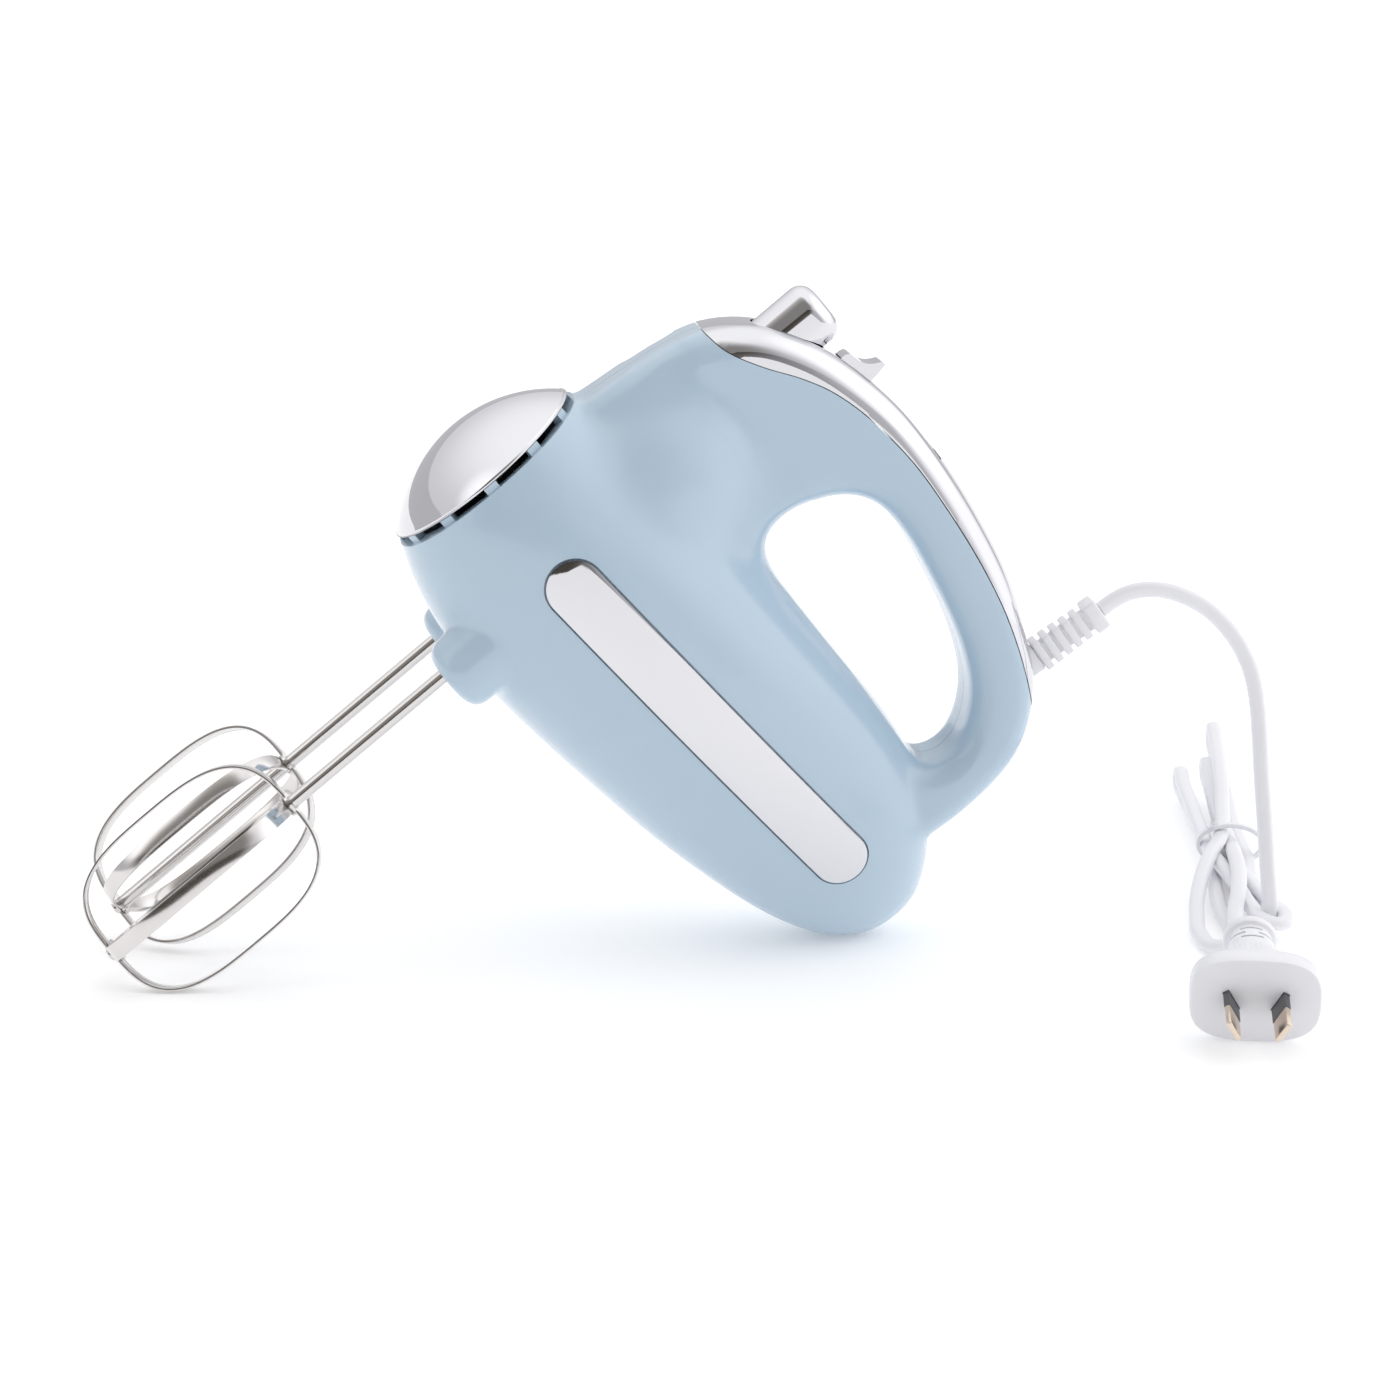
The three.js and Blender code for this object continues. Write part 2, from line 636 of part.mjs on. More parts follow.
// Stamped strip bent to a closed loop, with an eye at each end that the rod passes through.
function beaterLoop(side, turn, inset) {
  const low = LOOP_BOTTOM + inset;
  const high = LOOP_TOP - inset;
  const shape = new THREE.Shape(loopOutline(BEATER_R - inset, low, high));
  shape.holes.push(new THREE.Path(loopOutline(BEATER_R - inset - STRIP_THICK, low + STRIP_THICK, high - STRIP_THICK)));
  const strip = toSolid(sideSlab(shape, STRIP_WIDTH / 2));
  const eyes = [low, high - STRIP_THICK].map((z) => toSolid(rodZ(3.4, z, z + STRIP_THICK, 0, 0, 12)));
  const hole = toSolid(rodZ(ROD_R + GAP, low - 5, high + 5, 0, 0, 12));
  const loop = toGeometry(unite(strip, ...eyes).subtract(hole));
  return loop.rotateZ(turn).translate(0, side * SPINDLE_Y, 0);
}

function beaterRod(side) {
  const tip = LOOP_BOTTOM - 1.2;
  const profile = [
    [0, tip], [ROD_R - 0.6, tip], [ROD_R, tip + 0.8], [ROD_R, 41], [ROD_R - 0.8, 43.4], [0, 43.4],
  ];
  return turned(profile, 14).translate(0, side * SPINDLE_Y, 0);
}

// ---- fasteners and cord fittings ----
function housingScrew([x, z]) {
  const head = toSolid(rodY(2.9, 8.2, 10.2, x, z, 14));
  const shank = toSolid(rodY(1.35, -8, 8.4, x, z, 10));
  const slot = toSolid(box(x - 3.2, x + 3.2, 9.4, 11, z - 0.4, z + 0.4));
  return toGeometry(unite(head, shank).subtract(slot));
}

function cordClamp() {
  return reliefAxis(box(-3, 9, -9, 9, -9, -6.4));
}

// Tapered ribbed sleeve: plain root, slotted rings, square end block.
function strainRelief() {
  const flange = rodZ(6.6, -6, -4, 0, 0, 16);
  const parts = [toSolid(flange), toSolid(box(-4.1, 4.1, -3.3, 3.3, -5, 14))];
  const ribs = 4;
  for (let i = 0; i < ribs; i += 1) {
    const start = 13 + i * 3.9;
    const half = 4.7 - i * 0.12;
    parts.push(toSolid(box(-half, half, -half * 0.8, half * 0.8, start + 1.5, start + 3.7)));
  }
  parts.push(toSolid(box(-3, 3, -2.4, 2.4, 10, 30)));
  parts.push(toSolid(box(-5, 5, -4.2, 4.2, 28.6, 33)));
  return reliefAxis(toGeometry(unite(...parts)));
}

// ---- lead, hank and plug, in the outer frame ----
// Free stretch: out of the strain relief, over in an arch and down on to the front of the hank.
const LEAD_ROUTE = [
  [153.4, 1.2, 100.3], [156.8, 1.2, 102.7], [161.6, 0.9, 105.2], [167.4, 0.2, 106.4], [173.6, -0.5, 105.9],
  [179.6, -1.4, 103.9], [184.9, -2.2, 101], [189.9, -3.2, 96.8], [194.3, -4.3, 91.5], [197.7, -5.4, 85.6],
  [200, -6.6, 79.3], [201.3, -8, 72], [202, -10, 62.2], [202.4, -12, 52], [202.9, -14.1, 41.9],
  [203.4, -16.3, 31.8], [203.8, -18.2, 21.7], [203.9, -19, 12.4],
];

function cordTube(route) {
  const curve = new THREE.CatmullRomCurve3(route.map(([x, y, z]) => new THREE.Vector3(x, y, z)));
  return new THREE.ExtrudeGeometry(circleShape(CORD_D / 2, 8), {
    steps: Math.ceil(curve.getLength() / (2 * CORD_D)) * 2,
    extrudePath: curve,
    bevelEnabled: false,
  });
}

// Hank: folded runs lying side by side in two layers, stated by its outer shape.
const HANK_LENGTH = 184;
const HANK_WIDTH = 24;
const HANK_HEIGHT = 12;
const HANK_CENTRE = [212.1, 54.8];
const HANK_TURN = THREE.MathUtils.degToRad(-12.5);
function hank() {
  const outline = roundedRectangle(HANK_WIDTH, HANK_LENGTH, HANK_WIDTH / 2 - 0.5);
  const solid = new THREE.ExtrudeGeometry(outline, { depth: HANK_HEIGHT, bevelEnabled: false, curveSegments: 6 });
  return solid.rotateZ(HANK_TURN).translate(HANK_CENTRE[0], HANK_CENTRE[1], 0);
}

// Thin tie round the hank: a flat band outside it, closed over the top.
const TIE_WIDTH = 3;
const TIE_PLACE = -12;
function cordTie() {
  const half = HANK_WIDTH / 2;
  const outer = box(-half - 1.6, half + 1.6, 0, TIE_WIDTH, 0, HANK_HEIGHT + 1.6);
  const inner = box(-half - GAP, half + GAP, -1, TIE_WIDTH + 1, -1, HANK_HEIGHT + GAP);
  const band = toGeometry(toSolid(outer).subtract(toSolid(inner)));
  return band.translate(0, TIE_PLACE, 0).rotateZ(HANK_TURN).translate(HANK_CENTRE[0], HANK_CENTRE[1], 0);
}

// Plug drawn with its pins along -y and its centre line through z = 0, then tipped and turned.
const PLUG_FACE = [172.6, -108.5, 13.15];
const PLUG_WIDTH = 37;
const PLUG_TALL = 26.5;
const PIN_LENGTH = 17;
function placePlug(geometry) {
  return geometry.rotateX(PLUG_TILT).rotateZ(-PLUG_TURN).translate(...PLUG_FACE);
}

function plugSlice(width, height, radius, y, depth) {
  const slice = new THREE.ExtrudeGeometry(roundedRectangle(width, height, radius), {
    depth,
    bevelEnabled: false,
    curveSegments: 4,
  });
  return toSolid(slice.rotateX(Math.PI / 2).translate(0, y + depth, 0));
}

function pinSlab(side, grow, y0, y1) {
  const slab = box(-0.8 - grow, 0.8 + grow, y0, y1, -3.2 - grow, 3.2 + grow);
  return slab.rotateY(side * THREE.MathUtils.degToRad(30)).translate(side * 6.85, 0, 0);
}

function plugBody() {
  const slices = [
    plugSlice(PLUG_WIDTH, PLUG_TALL, 11.5, 0, 7),
    plugSlice(31, 23, 10, 6.5, 5),
    plugSlice(24, 19, 8.5, 11, 6),
    plugSlice(18, 16, 7, 16.5, 10),
    plugSlice(13, 12.5, 5.8, 26, 9),
    plugSlice(15.5, 15, 7, 34.5, 3),
  ];
  const pockets = Object.values(SIDES).map((side) => toSolid(pinSlab(side, GAP, -1, 5)));
  return placePlug(toGeometry(cutAway(unite(...slices), ...pockets)));
}

function plugPin(side) {
  return placePlug(pinSlab(side, 0, -PIN_LENGTH, 4.5));
}

// Short run of lead from the plug's collar back to the front of the hank.
const PLUG_LEAD_ROUTE = [
  [181.63, -72.27, 19.07], [182.35, -69.4, 19.5], [183.6, -64.4, 19.7], [185.1, -58.4, 18.8], [186.7, -52.4, 16.4],
  [188.5, -46.6, 13.2], [190.1, -41.8, 10.6], [191.3, -38.4, 9.2], [192.1, -35.5, 8.7],
];

const group = new THREE.Group();
group.name = 'hand_mixer';
const mixer = new THREE.Group();
mixer.name = 'leaning_mixer';
group.add(mixer);

function addPiece(parent, name, geometry, material) {
  const mesh = new THREE.Mesh(geometry, material);
  mesh.name = name;
  parent.add(mesh);
  return mesh;
}

const skin = outerSkin(0, false);
const cavity = outerSkin(-WALL, true);
const teeth = ventTeeth();
for (const [name, side] of Object.entries(SIDES)) {
  addPiece(mixer, `housing_${name}`, housingHalf(side, skin, cavity, teeth), shellBlue);
  addPiece(mixer, `side_band_${name}`, sideBand(side), chrome);
  addPiece(mixer, `worm_wheel_${name}`, wormWheel(side), nylon);
  addPiece(mixer, `spindle_${name}`, spindle(side), steel);
  addPiece(mixer, `ejector_pin_${name}`, ejectorPin(side), steel);
  addPiece(mixer, `brush_holder_${name}`, brushHolder(side), brass);
  addPiece(mixer, `brush_${name}`, brush(side), carbon);
  const phase = THREE.MathUtils.degToRad(BEATER_PHASES[name]);
  addPiece(mixer, `beater_rod_${name}`, beaterRod(side), steel);
  addPiece(mixer, `beater_wide_loop_${name}`, beaterLoop(side, phase, 0), steel);
  addPiece(mixer, `beater_cross_loop_${name}`, beaterLoop(side, phase + Math.PI / 2, STRIP_THICK + GAP), steel);
}
addPiece(mixer, 'nose_dome', noseDome(), chrome);
addPiece(mixer, 'handle_trim', handleTrim(), chrome);
addPiece(mixer, 'handle_inlay', handleInlay(), chrome);
addPiece(mixer, 'eject_button', ejectButton(), chrome);
addPiece(mixer, 'ejector_fork', ejectorFork(), nylon);
addPiece(mixer, 'eject_spring', ejectSpring(), steel);
addPiece(mixer, 'speed_slider', speedSlider(), chrome);
addPiece(mixer, 'speed_switch', speedSwitch(), blackPlastic);
addPiece(mixer, 'control_board', box(50, 92, -9, 9, 131.8, 133.4), boardGreen);
addPiece(mixer, 'capacitor', box(56, 70, -3.5, 3.5, 133.4 + GAP, 141), boardGreen);
addPiece(mixer, 'stator_core', statorCore(), darkSteel);
addPiece(mixer, 'field_coil_upper', fieldCoil(1), copper);
addPiece(mixer, 'field_coil_lower', fieldCoil(-1), copper);
addPiece(mixer, 'armature_core', armatureCore(), darkSteel);
addPiece(mixer, 'winding_front', endWinding(36 - 6 - GAP), copper);
addPiece(mixer, 'winding_rear', endWinding(64 + GAP), copper);
addPiece(mixer, 'commutator', alongX(ring(SHAFT_R + GAP, 8, 0, 12, 30), 73), copper);
addPiece(mixer, 'motor_shaft', motorShaft(), steel);
addPiece(mixer, 'fan', fan(), blackPlastic);
addPiece(mixer, 'worm', worm(), brass);
addPiece(mixer, 'bearing_front', bearing(-19), brass);
addPiece(mixer, 'bearing_middle', bearing(17), brass);
addPiece(mixer, 'bearing_rear', bearing(88.5), brass);
addPiece(mixer, 'motor_bracket', motorBracket(), nylon);
addPiece(mixer, 'gearbox_base', gearboxBase(), nylon);
addPiece(mixer, 'gearbox_cover', gearboxCover(), nylon);
SCREW_PLACES.forEach((place, i) => addPiece(mixer, `housing_screw_${i + 1}`, housingScrew(place), darkSteel));
addPiece(mixer, 'cord_clamp', cordClamp(), nylon);
addPiece(mixer, 'strain_relief', strainRelief(), whiteVinyl);

addPiece(group, 'cord_lead', cordTube(LEAD_ROUTE), whiteVinyl);
addPiece(group, 'cord_hank', hank(), whiteVinyl);
addPiece(group, 'cord_tie', cordTie(), whiteVinyl);
addPiece(group, 'cord_plug_end', cordTube(PLUG_LEAD_ROUTE), whiteVinyl);
addPiece(group, 'plug_body', plugBody(), whiteVinyl);
for (const [name, side] of Object.entries(SIDES)) {
  addPiece(group, `plug_pin_${name}`, plugPin(side), brass);
}

// ---- lean the mixer until heel and beaters both touch the floor ----
function lowest(meshes, lean) {
  let low = Infinity;
  for (const mesh of meshes) {
    const place = mesh.geometry.attributes.position;
    for (let i = 0; i < place.count; i += 1) {
      low = Math.min(low, place.getZ(i) * Math.cos(lean) - place.getX(i) * Math.sin(lean));
    }
  }
  return low;
}

function settledLean() {
  const shells = mixer.children.filter((mesh) => mesh.name.startsWith('housing_'));
  const loops = mixer.children.filter((mesh) => mesh.name.includes('loop'));
  let low = THREE.MathUtils.degToRad(40);
  let high = THREE.MathUtils.degToRad(60);
  for (let i = 0; i < 40; i += 1) {
    const middle = (low + high) / 2;
    if (lowest(shells, middle) > lowest(loops, middle)) {
      low = middle;
    } else {
      high = middle;
    }
  }
  return low;
}

mixer.rotation.y = settledLean();
mixer.updateMatrixWorld(true);
const reach = new THREE.Box3().setFromObject(mixer, true);
mixer.position.set(-(reach.min.x + reach.max.x) / 2, -(reach.min.y + reach.max.y) / 2, -reach.min.z);

export default group;
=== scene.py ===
import json
import math

import bmesh
import bpy
from mathutils import Matrix, Vector


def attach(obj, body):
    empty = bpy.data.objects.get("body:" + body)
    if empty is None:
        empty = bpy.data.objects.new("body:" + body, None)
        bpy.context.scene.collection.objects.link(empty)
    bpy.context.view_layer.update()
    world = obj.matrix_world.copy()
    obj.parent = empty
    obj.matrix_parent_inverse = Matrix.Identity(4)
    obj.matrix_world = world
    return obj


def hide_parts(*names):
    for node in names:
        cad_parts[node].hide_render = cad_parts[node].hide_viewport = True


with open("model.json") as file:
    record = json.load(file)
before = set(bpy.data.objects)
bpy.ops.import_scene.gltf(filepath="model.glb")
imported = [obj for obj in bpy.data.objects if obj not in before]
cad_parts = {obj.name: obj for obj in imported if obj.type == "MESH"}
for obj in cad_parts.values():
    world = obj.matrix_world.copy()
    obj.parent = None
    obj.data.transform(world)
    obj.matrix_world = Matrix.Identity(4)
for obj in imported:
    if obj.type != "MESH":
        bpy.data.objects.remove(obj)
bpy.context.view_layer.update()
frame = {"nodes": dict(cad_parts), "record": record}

# ---- stance and camera ----
# The mixer leans on its heel and its beaters. Its pieces are drawn upright in its own frame,
# with x from nose to tail and z up through the handle, and LEAN carries them to the row frame.
MM = 0.001
AXIS_Z = 46 * MM
joints = {joint["name"]: joint for joint in frame["record"]["behaviour"]["joints"]}
fore = Vector(joints["motor_spin"]["axis"])
upward = Vector(joints["spindle_spin_left"]["axis"])
foot = Vector(joints["motor_spin"]["pos_m"]) - AXIS_Z * upward
LEAN = Matrix((fore, upward.cross(fore), upward)).transposed().to_4x4()
LEAN.translation = foot

VIEW_TURN = math.radians(7.8)
VIEW_RISE = math.radians(15.7)
VIEW_DISTANCE = 0.9754
SENSOR_WIDTH = 36
LENS = 82.8
view_aim = Vector((0.0297, foot.y, 0.0763))
toward_camera = Vector((
    -math.cos(VIEW_RISE) * math.sin(VIEW_TURN),
    -math.cos(VIEW_RISE) * math.cos(VIEW_TURN),
    math.sin(VIEW_RISE),
))
camera = bpy.data.objects.new("camera", bpy.data.cameras.new("camera"))
bpy.context.collection.objects.link(camera)
camera.data.sensor_width = SENSOR_WIDTH
camera.data.lens = LENS
camera.location = view_aim + VIEW_DISTANCE * toward_camera
camera.rotation_euler = toward_camera.to_track_quat("Z", "Y").to_euler()
bpy.context.scene.camera = camera

# ---- mains lead ----
# One flat twin cord in soft white vinyl, 1.2 m long, from the strain relief to the plug. It arches
# over and down, and the rest is folded to and fro on the floor, fanned at the far end.
CORD_WIDTH = 5 * MM
CORD_THICK = 3.8 * MM
POINT_RADIUS = 0.0025
GRAIN_DEPTH = 0.2 * MM
GRAIN_DETAIL = 4
PATCH_SCALE = 22
CORD_ROUTE = [
    # arch from the sleeve down to the floor
    (153.4, 1.2, 100.3), (156.8, 1.2, 102.7), (161.6, 0.9, 105.2), (167.4, 0.2, 106.4),
    (173.6, -0.5, 105.9), (179.6, -1.4, 103.9), (184.9, -2.2, 101), (189.9, -3.2, 96.8),
    (194.3, -4.3, 91.5), (197.7, -5.4, 85.6), (200, -6.6, 79.3), (201.3, -8, 72), (202, -10, 62.2),
    (202.4, -12, 52), (202.9, -14.1, 41.9), (203.4, -16.3, 31.8), (203.8, -18.6, 21.7),
    (204.3, -20.6, 12), (205, -18.5, 4.4), (206, -10, 2.4),
    # out under the tie to the tall far fold, and back on top
    (208.6, 6, 2.2), (213.2, 26, 2.2), (218.4, 47, 2.2), (222.4, 75, 3.5), (226.6, 100, 8),
    (231.2, 125, 11.5), (234.6, 143, 13.4), (235.8, 147.2, 16.1), (234.6, 143.5, 18.8),
    (230.6, 125, 17.4), (224.6, 100, 14.4), (217, 72, 11.6), (209, 47, 10.2), (200, 30, 8.6),
    (191.8, 12, 5.6), (184.6, -10, 3),
    # near fold on the left, and out to the first of the low far folds
    (181.4, -26, 2.6), (183.4, -35.6, 2.8), (188.6, -34, 3), (191.4, -24, 3), (193.6, -8, 2.8),
    (198, 14, 2.4), (202.6, 32, 2.2), (206.3, 47, 2.2), (209, 66, 3), (212, 88, 4),
    (214.4, 108, 4.8), (216, 118.6, 5.2), (216.7, 122.4, 7.9), (215.8, 118.2, 10.6),
    (213.2, 106, 10.2), (210.2, 85, 8.8), (207.2, 64, 7.2),
    # back to the near fold in the middle, and out to the second low far fold
    (205, 47, 6.2), (204, 30, 6.3), (203, 8, 6.4), (201.4, -12, 6.4), (201.6, -24, 6.4),
    (205.2, -29, 6.6), (208.8, -24, 6.6), (209, -10, 6.5), (208.6, 10, 6.3), (210, 30, 4.6),
    (212.6, 47, 2.4), (217, 70, 2.6), (222, 95, 3.2), (226.6, 118, 4.4), (228.8, 129.6, 4.8),
    (229.5, 133.2, 7.5), (228.4, 129.2, 10.2), (225.4, 116, 10), (221, 94, 8.6), (216.4, 70, 7.2),
    (212.6, 47, 7), (208.6, 30, 9.6), (204.4, 12, 10.4),
    # over the others and up into the collar of the plug
    (199, -6, 10), (193.8, -20, 8.6), (190.6, -31, 8.4), (188.6, -41, 10.6), (186.6, -50, 14),
    (184.4, -60, 17.4), (181.63, -72.27, 19.07),
]


def link(obj):
    bpy.context.collection.objects.link(obj)
    return obj


cord_route = [Vector(point) for point in CORD_ROUTE]
cord_curve = bpy.data.curves.new("mains_cord", "CURVE")
cord_curve.dimensions = "3D"
cord_curve.twist_mode = "MINIMUM"
cord_curve.resolution_u = 6
cord_curve.bevel_depth = CORD_THICK / 2 / POINT_RADIUS
cord_curve.extrude = (CORD_WIDTH - CORD_THICK) / 2 / POINT_RADIUS
cord_curve.bevel_resolution = 4
cord_curve.use_fill_caps = True
spline = cord_curve.splines.new("BEZIER")
spline.bezier_points.add(len(cord_route) - 1)
for point, place in zip(spline.bezier_points, cord_route):
    point.co = place * MM
    point.radius = POINT_RADIUS
    point.handle_left_type = "AUTO"
    point.handle_right_type = "AUTO"
mains_cord = link(bpy.data.objects.new("mains_cord", cord_curve))
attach(mains_cord, "housing")
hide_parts("cord_lead", "cord_hank", "cord_plug_end")


def grain_group():
    """Fine unevenness that every finish shares: its roughness, its height and its broad patches."""
    group = bpy.data.node_groups.new("fine_grain", "ShaderNodeTree")
    for name, default in (("Scale", 400), ("Stretch", 1), ("Low", 0.2), ("High", 0.3)):
        socket = group.interface.new_socket(name, in_out="INPUT", socket_type="NodeSocketFloat")
        socket.default_value = default
    for name in ("Roughness", "Height", "Patch"):
        group.interface.new_socket(name, in_out="OUTPUT", socket_type="NodeSocketFloat")
    nodes, links = group.nodes, group.links
    given = nodes.new("NodeGroupInput")
    out = nodes.new("NodeGroupOutput")
    place = nodes.new("ShaderNodeTexCoord")
    stretch = nodes.new("ShaderNodeCombineXYZ")
    stretch.inputs["Y"].default_value = 1
    stretch.inputs["Z"].default_value = 1
    links.new(given.outputs["Stretch"], stretch.inputs["X"])
    scaled = nodes.new("ShaderNodeVectorMath")
    scaled.operation = "MULTIPLY"
    links.new(place.outputs["Object"], scaled.inputs[0])
    links.new(stretch.outputs["Vector"], scaled.inputs[1])
    fine = nodes.new("ShaderNodeTexNoise")
    fine.inputs["Detail"].default_value = GRAIN_DETAIL
    links.new(scaled.outputs["Vector"], fine.inputs["Vector"])
    links.new(given.outputs["Scale"], fine.inputs["Scale"])
    broad = nodes.new("ShaderNodeTexNoise")
    broad.inputs["Scale"].default_value = PATCH_SCALE
    links.new(place.outputs["Object"], broad.inputs["Vector"])
    spread = nodes.new("ShaderNodeMapRange")
    links.new(fine.outputs["Fac"], spread.inputs["Value"])
    links.new(given.outputs["Low"], spread.inputs["To Min"])
    links.new(given.outputs["High"], spread.inputs["To Max"])
    links.new(spread.outputs["Result"], out.inputs["Roughness"])
    links.new(fine.outputs["Fac"], out.inputs["Height"])
    links.new(broad.outputs["Fac"], out.inputs["Patch"])
    return group


fine_grain = grain_group()


def finish(name, light, dark, low, high, metallic=0, scale=400, stretch=1, bump=0.02, **sockets):
    """Material between two colours and two roughnesses, with fine grain in its surface."""
    material = bpy.data.materials.new(name)
    material.use_nodes = True
    nodes, links = material.node_tree.nodes, material.node_tree.links
    shader = nodes["Principled BSDF"]
    grain = nodes.new("ShaderNodeGroup")
    grain.node_tree = fine_grain
    for socket, value in (("Scale", scale), ("Stretch", stretch), ("Low", low), ("High", high)):
        grain.inputs[socket].default_value = value
    tint = nodes.new("ShaderNodeMix")
    tint.data_type = "RGBA"
    tint.inputs["A"].default_value = (*dark, 1)
    tint.inputs["B"].default_value = (*light, 1)
    relief = nodes.new("ShaderNodeBump")
    relief.inputs["Strength"].default_value = bump
    relief.inputs["Distance"].default_value = GRAIN_DEPTH
    links.new(grain.outputs["Patch"], tint.inputs["Factor"])
    links.new(tint.outputs["Result"], shader.inputs["Base Color"])
    links.new(grain.outputs["Roughness"], shader.inputs["Roughness"])
    links.new(grain.outputs["Height"], relief.inputs["Height"])
    links.new(relief.outputs["Normal"], shader.inputs["Normal"])
    shader.inputs["Metallic"].default_value = metallic
    for socket, value in sockets.items():
        shader.inputs[socket.replace("_", " ")].default_value = value
    return material


white_vinyl = finish("white_vinyl", (0.89, 0.89, 0.925), (0.85, 0.85, 0.885), 0.34, 0.44, bump=0.06)
mains_cord.data.materials.append(white_vinyl)


# ---- tie of the folded lead ----
# A thin white vinyl strap, wound once round the bundle and twisted shut on top, where its two
# short tails stand out.
TIE_MIDDLE = Vector((212.2, 46, 0))
TIE_TURN = math.radians(-12.5)
TIE_HALF_WIDTH = 11.2 * MM
TIE_HALF_HEIGHT = 7.2 * MM
TIE_STRAP = 2.6 * MM
TIE_WALL = 1.3 * MM
TAIL_LENGTH = 9 * MM
TAIL_R = 0.9 * MM
TAIL_TIP_R = 0.6 * MM
TAIL_TURNS = (0.5, -0.4)
TAIL_DROOP = 1.1


def solid_piece(name, bm, material, place=None, sharp=35):
    """Piece from a drawn bmesh, welded, facing out and carried to its place."""
    bmesh.ops.remove_doubles(bm, verts=bm.verts, dist=1e-6)
    bm.normal_update()
    bmesh.ops.recalc_face_normals(bm, faces=bm.faces)
    mesh = bpy.data.meshes.new(name)
    if place is not None:
        bmesh.ops.transform(bm, matrix=place, verts=bm.verts)
    bm.to_mesh(mesh)
    bm.free()
    return finished(name, mesh, material, sharp)


def finished(name, mesh, material, sharp=35):
    """Piece from a mesh, smooth but for edges over the sharp angle in degrees."""
    mesh.name = name
    mesh.materials.clear()
    mesh.materials.append(material)
    mesh.shade_smooth()
    mesh.set_sharp_from_angle(angle=math.radians(sharp))
    return link(bpy.data.objects.new(name, mesh))


def belongs(obj, body, slot, *nodes):
    """Hangs the piece on the empty of the body it rides on and hides the nodes it stands for; the
    finish slot is not used.
    """
    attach(obj, body)
    if nodes:
        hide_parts(*nodes)
    return obj


def strap(bm, half_width, half_height, depth, wall):
    """Closed band round the y axis: an oval drawn in x and z, pushed along y and thickened."""
    made = bmesh.ops.create_circle(bm, segments=64, radius=1)
    bmesh.ops.rotate(bm, verts=made["verts"], matrix=Matrix.Rotation(math.pi / 2, 3, "X"))
    bmesh.ops.scale(bm, verts=made["verts"], vec=(half_width, 1, half_height))
    rim = [edge for edge in bm.edges if edge.verts[0] in made["verts"]]
    pushed = bmesh.ops.extrude_edge_only(bm, edges=rim)["geom"]
    moved = [vert for vert in pushed if isinstance(vert, bmesh.types.BMVert)]
    bmesh.ops.translate(bm, verts=moved, vec=(0, depth, 0))
    bm.normal_update()
    bmesh.ops.recalc_face_normals(bm, faces=bm.faces)
    bmesh.ops.solidify(bm, geom=bm.faces, thickness=wall)


bm = bmesh.new()
strap(bm, TIE_HALF_WIDTH, TIE_HALF_HEIGHT, TIE_STRAP, TIE_WALL)
for tail in TAIL_TURNS:
    made = bmesh.ops.create_cone(
        bm, cap_ends=True, segments=10, radius1=TAIL_R, radius2=TAIL_TIP_R, depth=TAIL_LENGTH
    )["verts"]
    turn = Matrix.Rotation(tail, 3, "Y") @ Matrix.Rotation(TAIL_DROOP, 3, "X")
    bmesh.ops.rotate(bm, verts=made, matrix=turn)
    bmesh.ops.translate(bm, verts=made, vec=(-TIE_HALF_WIDTH * 0.55, -1.5 * MM, TIE_HALF_HEIGHT))
tie_middle = TIE_MIDDLE * MM + Vector((0, 0, TIE_HALF_HEIGHT))
tie_place = Matrix.Translation(tie_middle) @ Matrix.Rotation(TIE_TURN, 4, "Z")
cord_tie = solid_piece("cord_tie_strap", bm, white_vinyl, tie_place)
belongs(cord_tie, "housing", "white_vinyl", "cord_tie")


# ---- plug ----
# A moulded two-pin plug in the same white vinyl: a flat oval face, a tapered grip with a fine
# cross-hatch, a slotted flexible neck and a round collar where the cord goes in.
PLUG_TILT = math.radians(9)
PLUG_TURN = math.radians(14)
PLUG_FACE = Vector((172.6, -108.5, 13.15)) * MM
plug_turn = Matrix.Rotation(-PLUG_TURN, 4, "Z") @ Matrix.Rotation(PLUG_TILT, 4, "X")
plug_place = Matrix.Translation(PLUG_FACE) @ plug_turn
PIN_APART = 6.85
PIN_LEAN = math.radians(30)
PIN_POCKET = (-1.1, 1.1, -1, 5, -3.5, 3.5)
NECK_SLITS = (26, 29, 32)
SLIT_HALF = 0.55
HATCH_SCALE = 170
HATCH_TURN = 0.9
HATCH_FADE_IN = (8.5, 10)
HATCH_FADE_OUT = (21, 19.5)
HATCH_DEPTH = 0.4 * MM
PLUG_RINGS = [
    (0, 17.6, 12.3, 3), (0.3, 18.2, 12.9, 3), (1.1, 18.5, 13.2, 3), (6.4, 18.5, 13.2, 3),
    (7.3, 18, 12.7, 3), (8.4, 16.4, 11.8, 2.8), (10.5, 14.2, 10.9, 2.6), (13.5, 12, 9.9, 2.5),
    (17, 10.2, 9, 2.4), (21, 8.6, 8, 2.3), (25, 7.5, 7.1, 2.2), (33.6, 6.3, 6.1, 2.1),
    (34, 6.5, 6.3, 2), (34.3, 7.5, 7.3, 2), (34.8, 7.8, 7.6, 2), (36.8, 7.8, 7.6, 2),
    (37.3, 7.4, 7.2, 2), (37.5, 6.8, 6.6, 2),
]


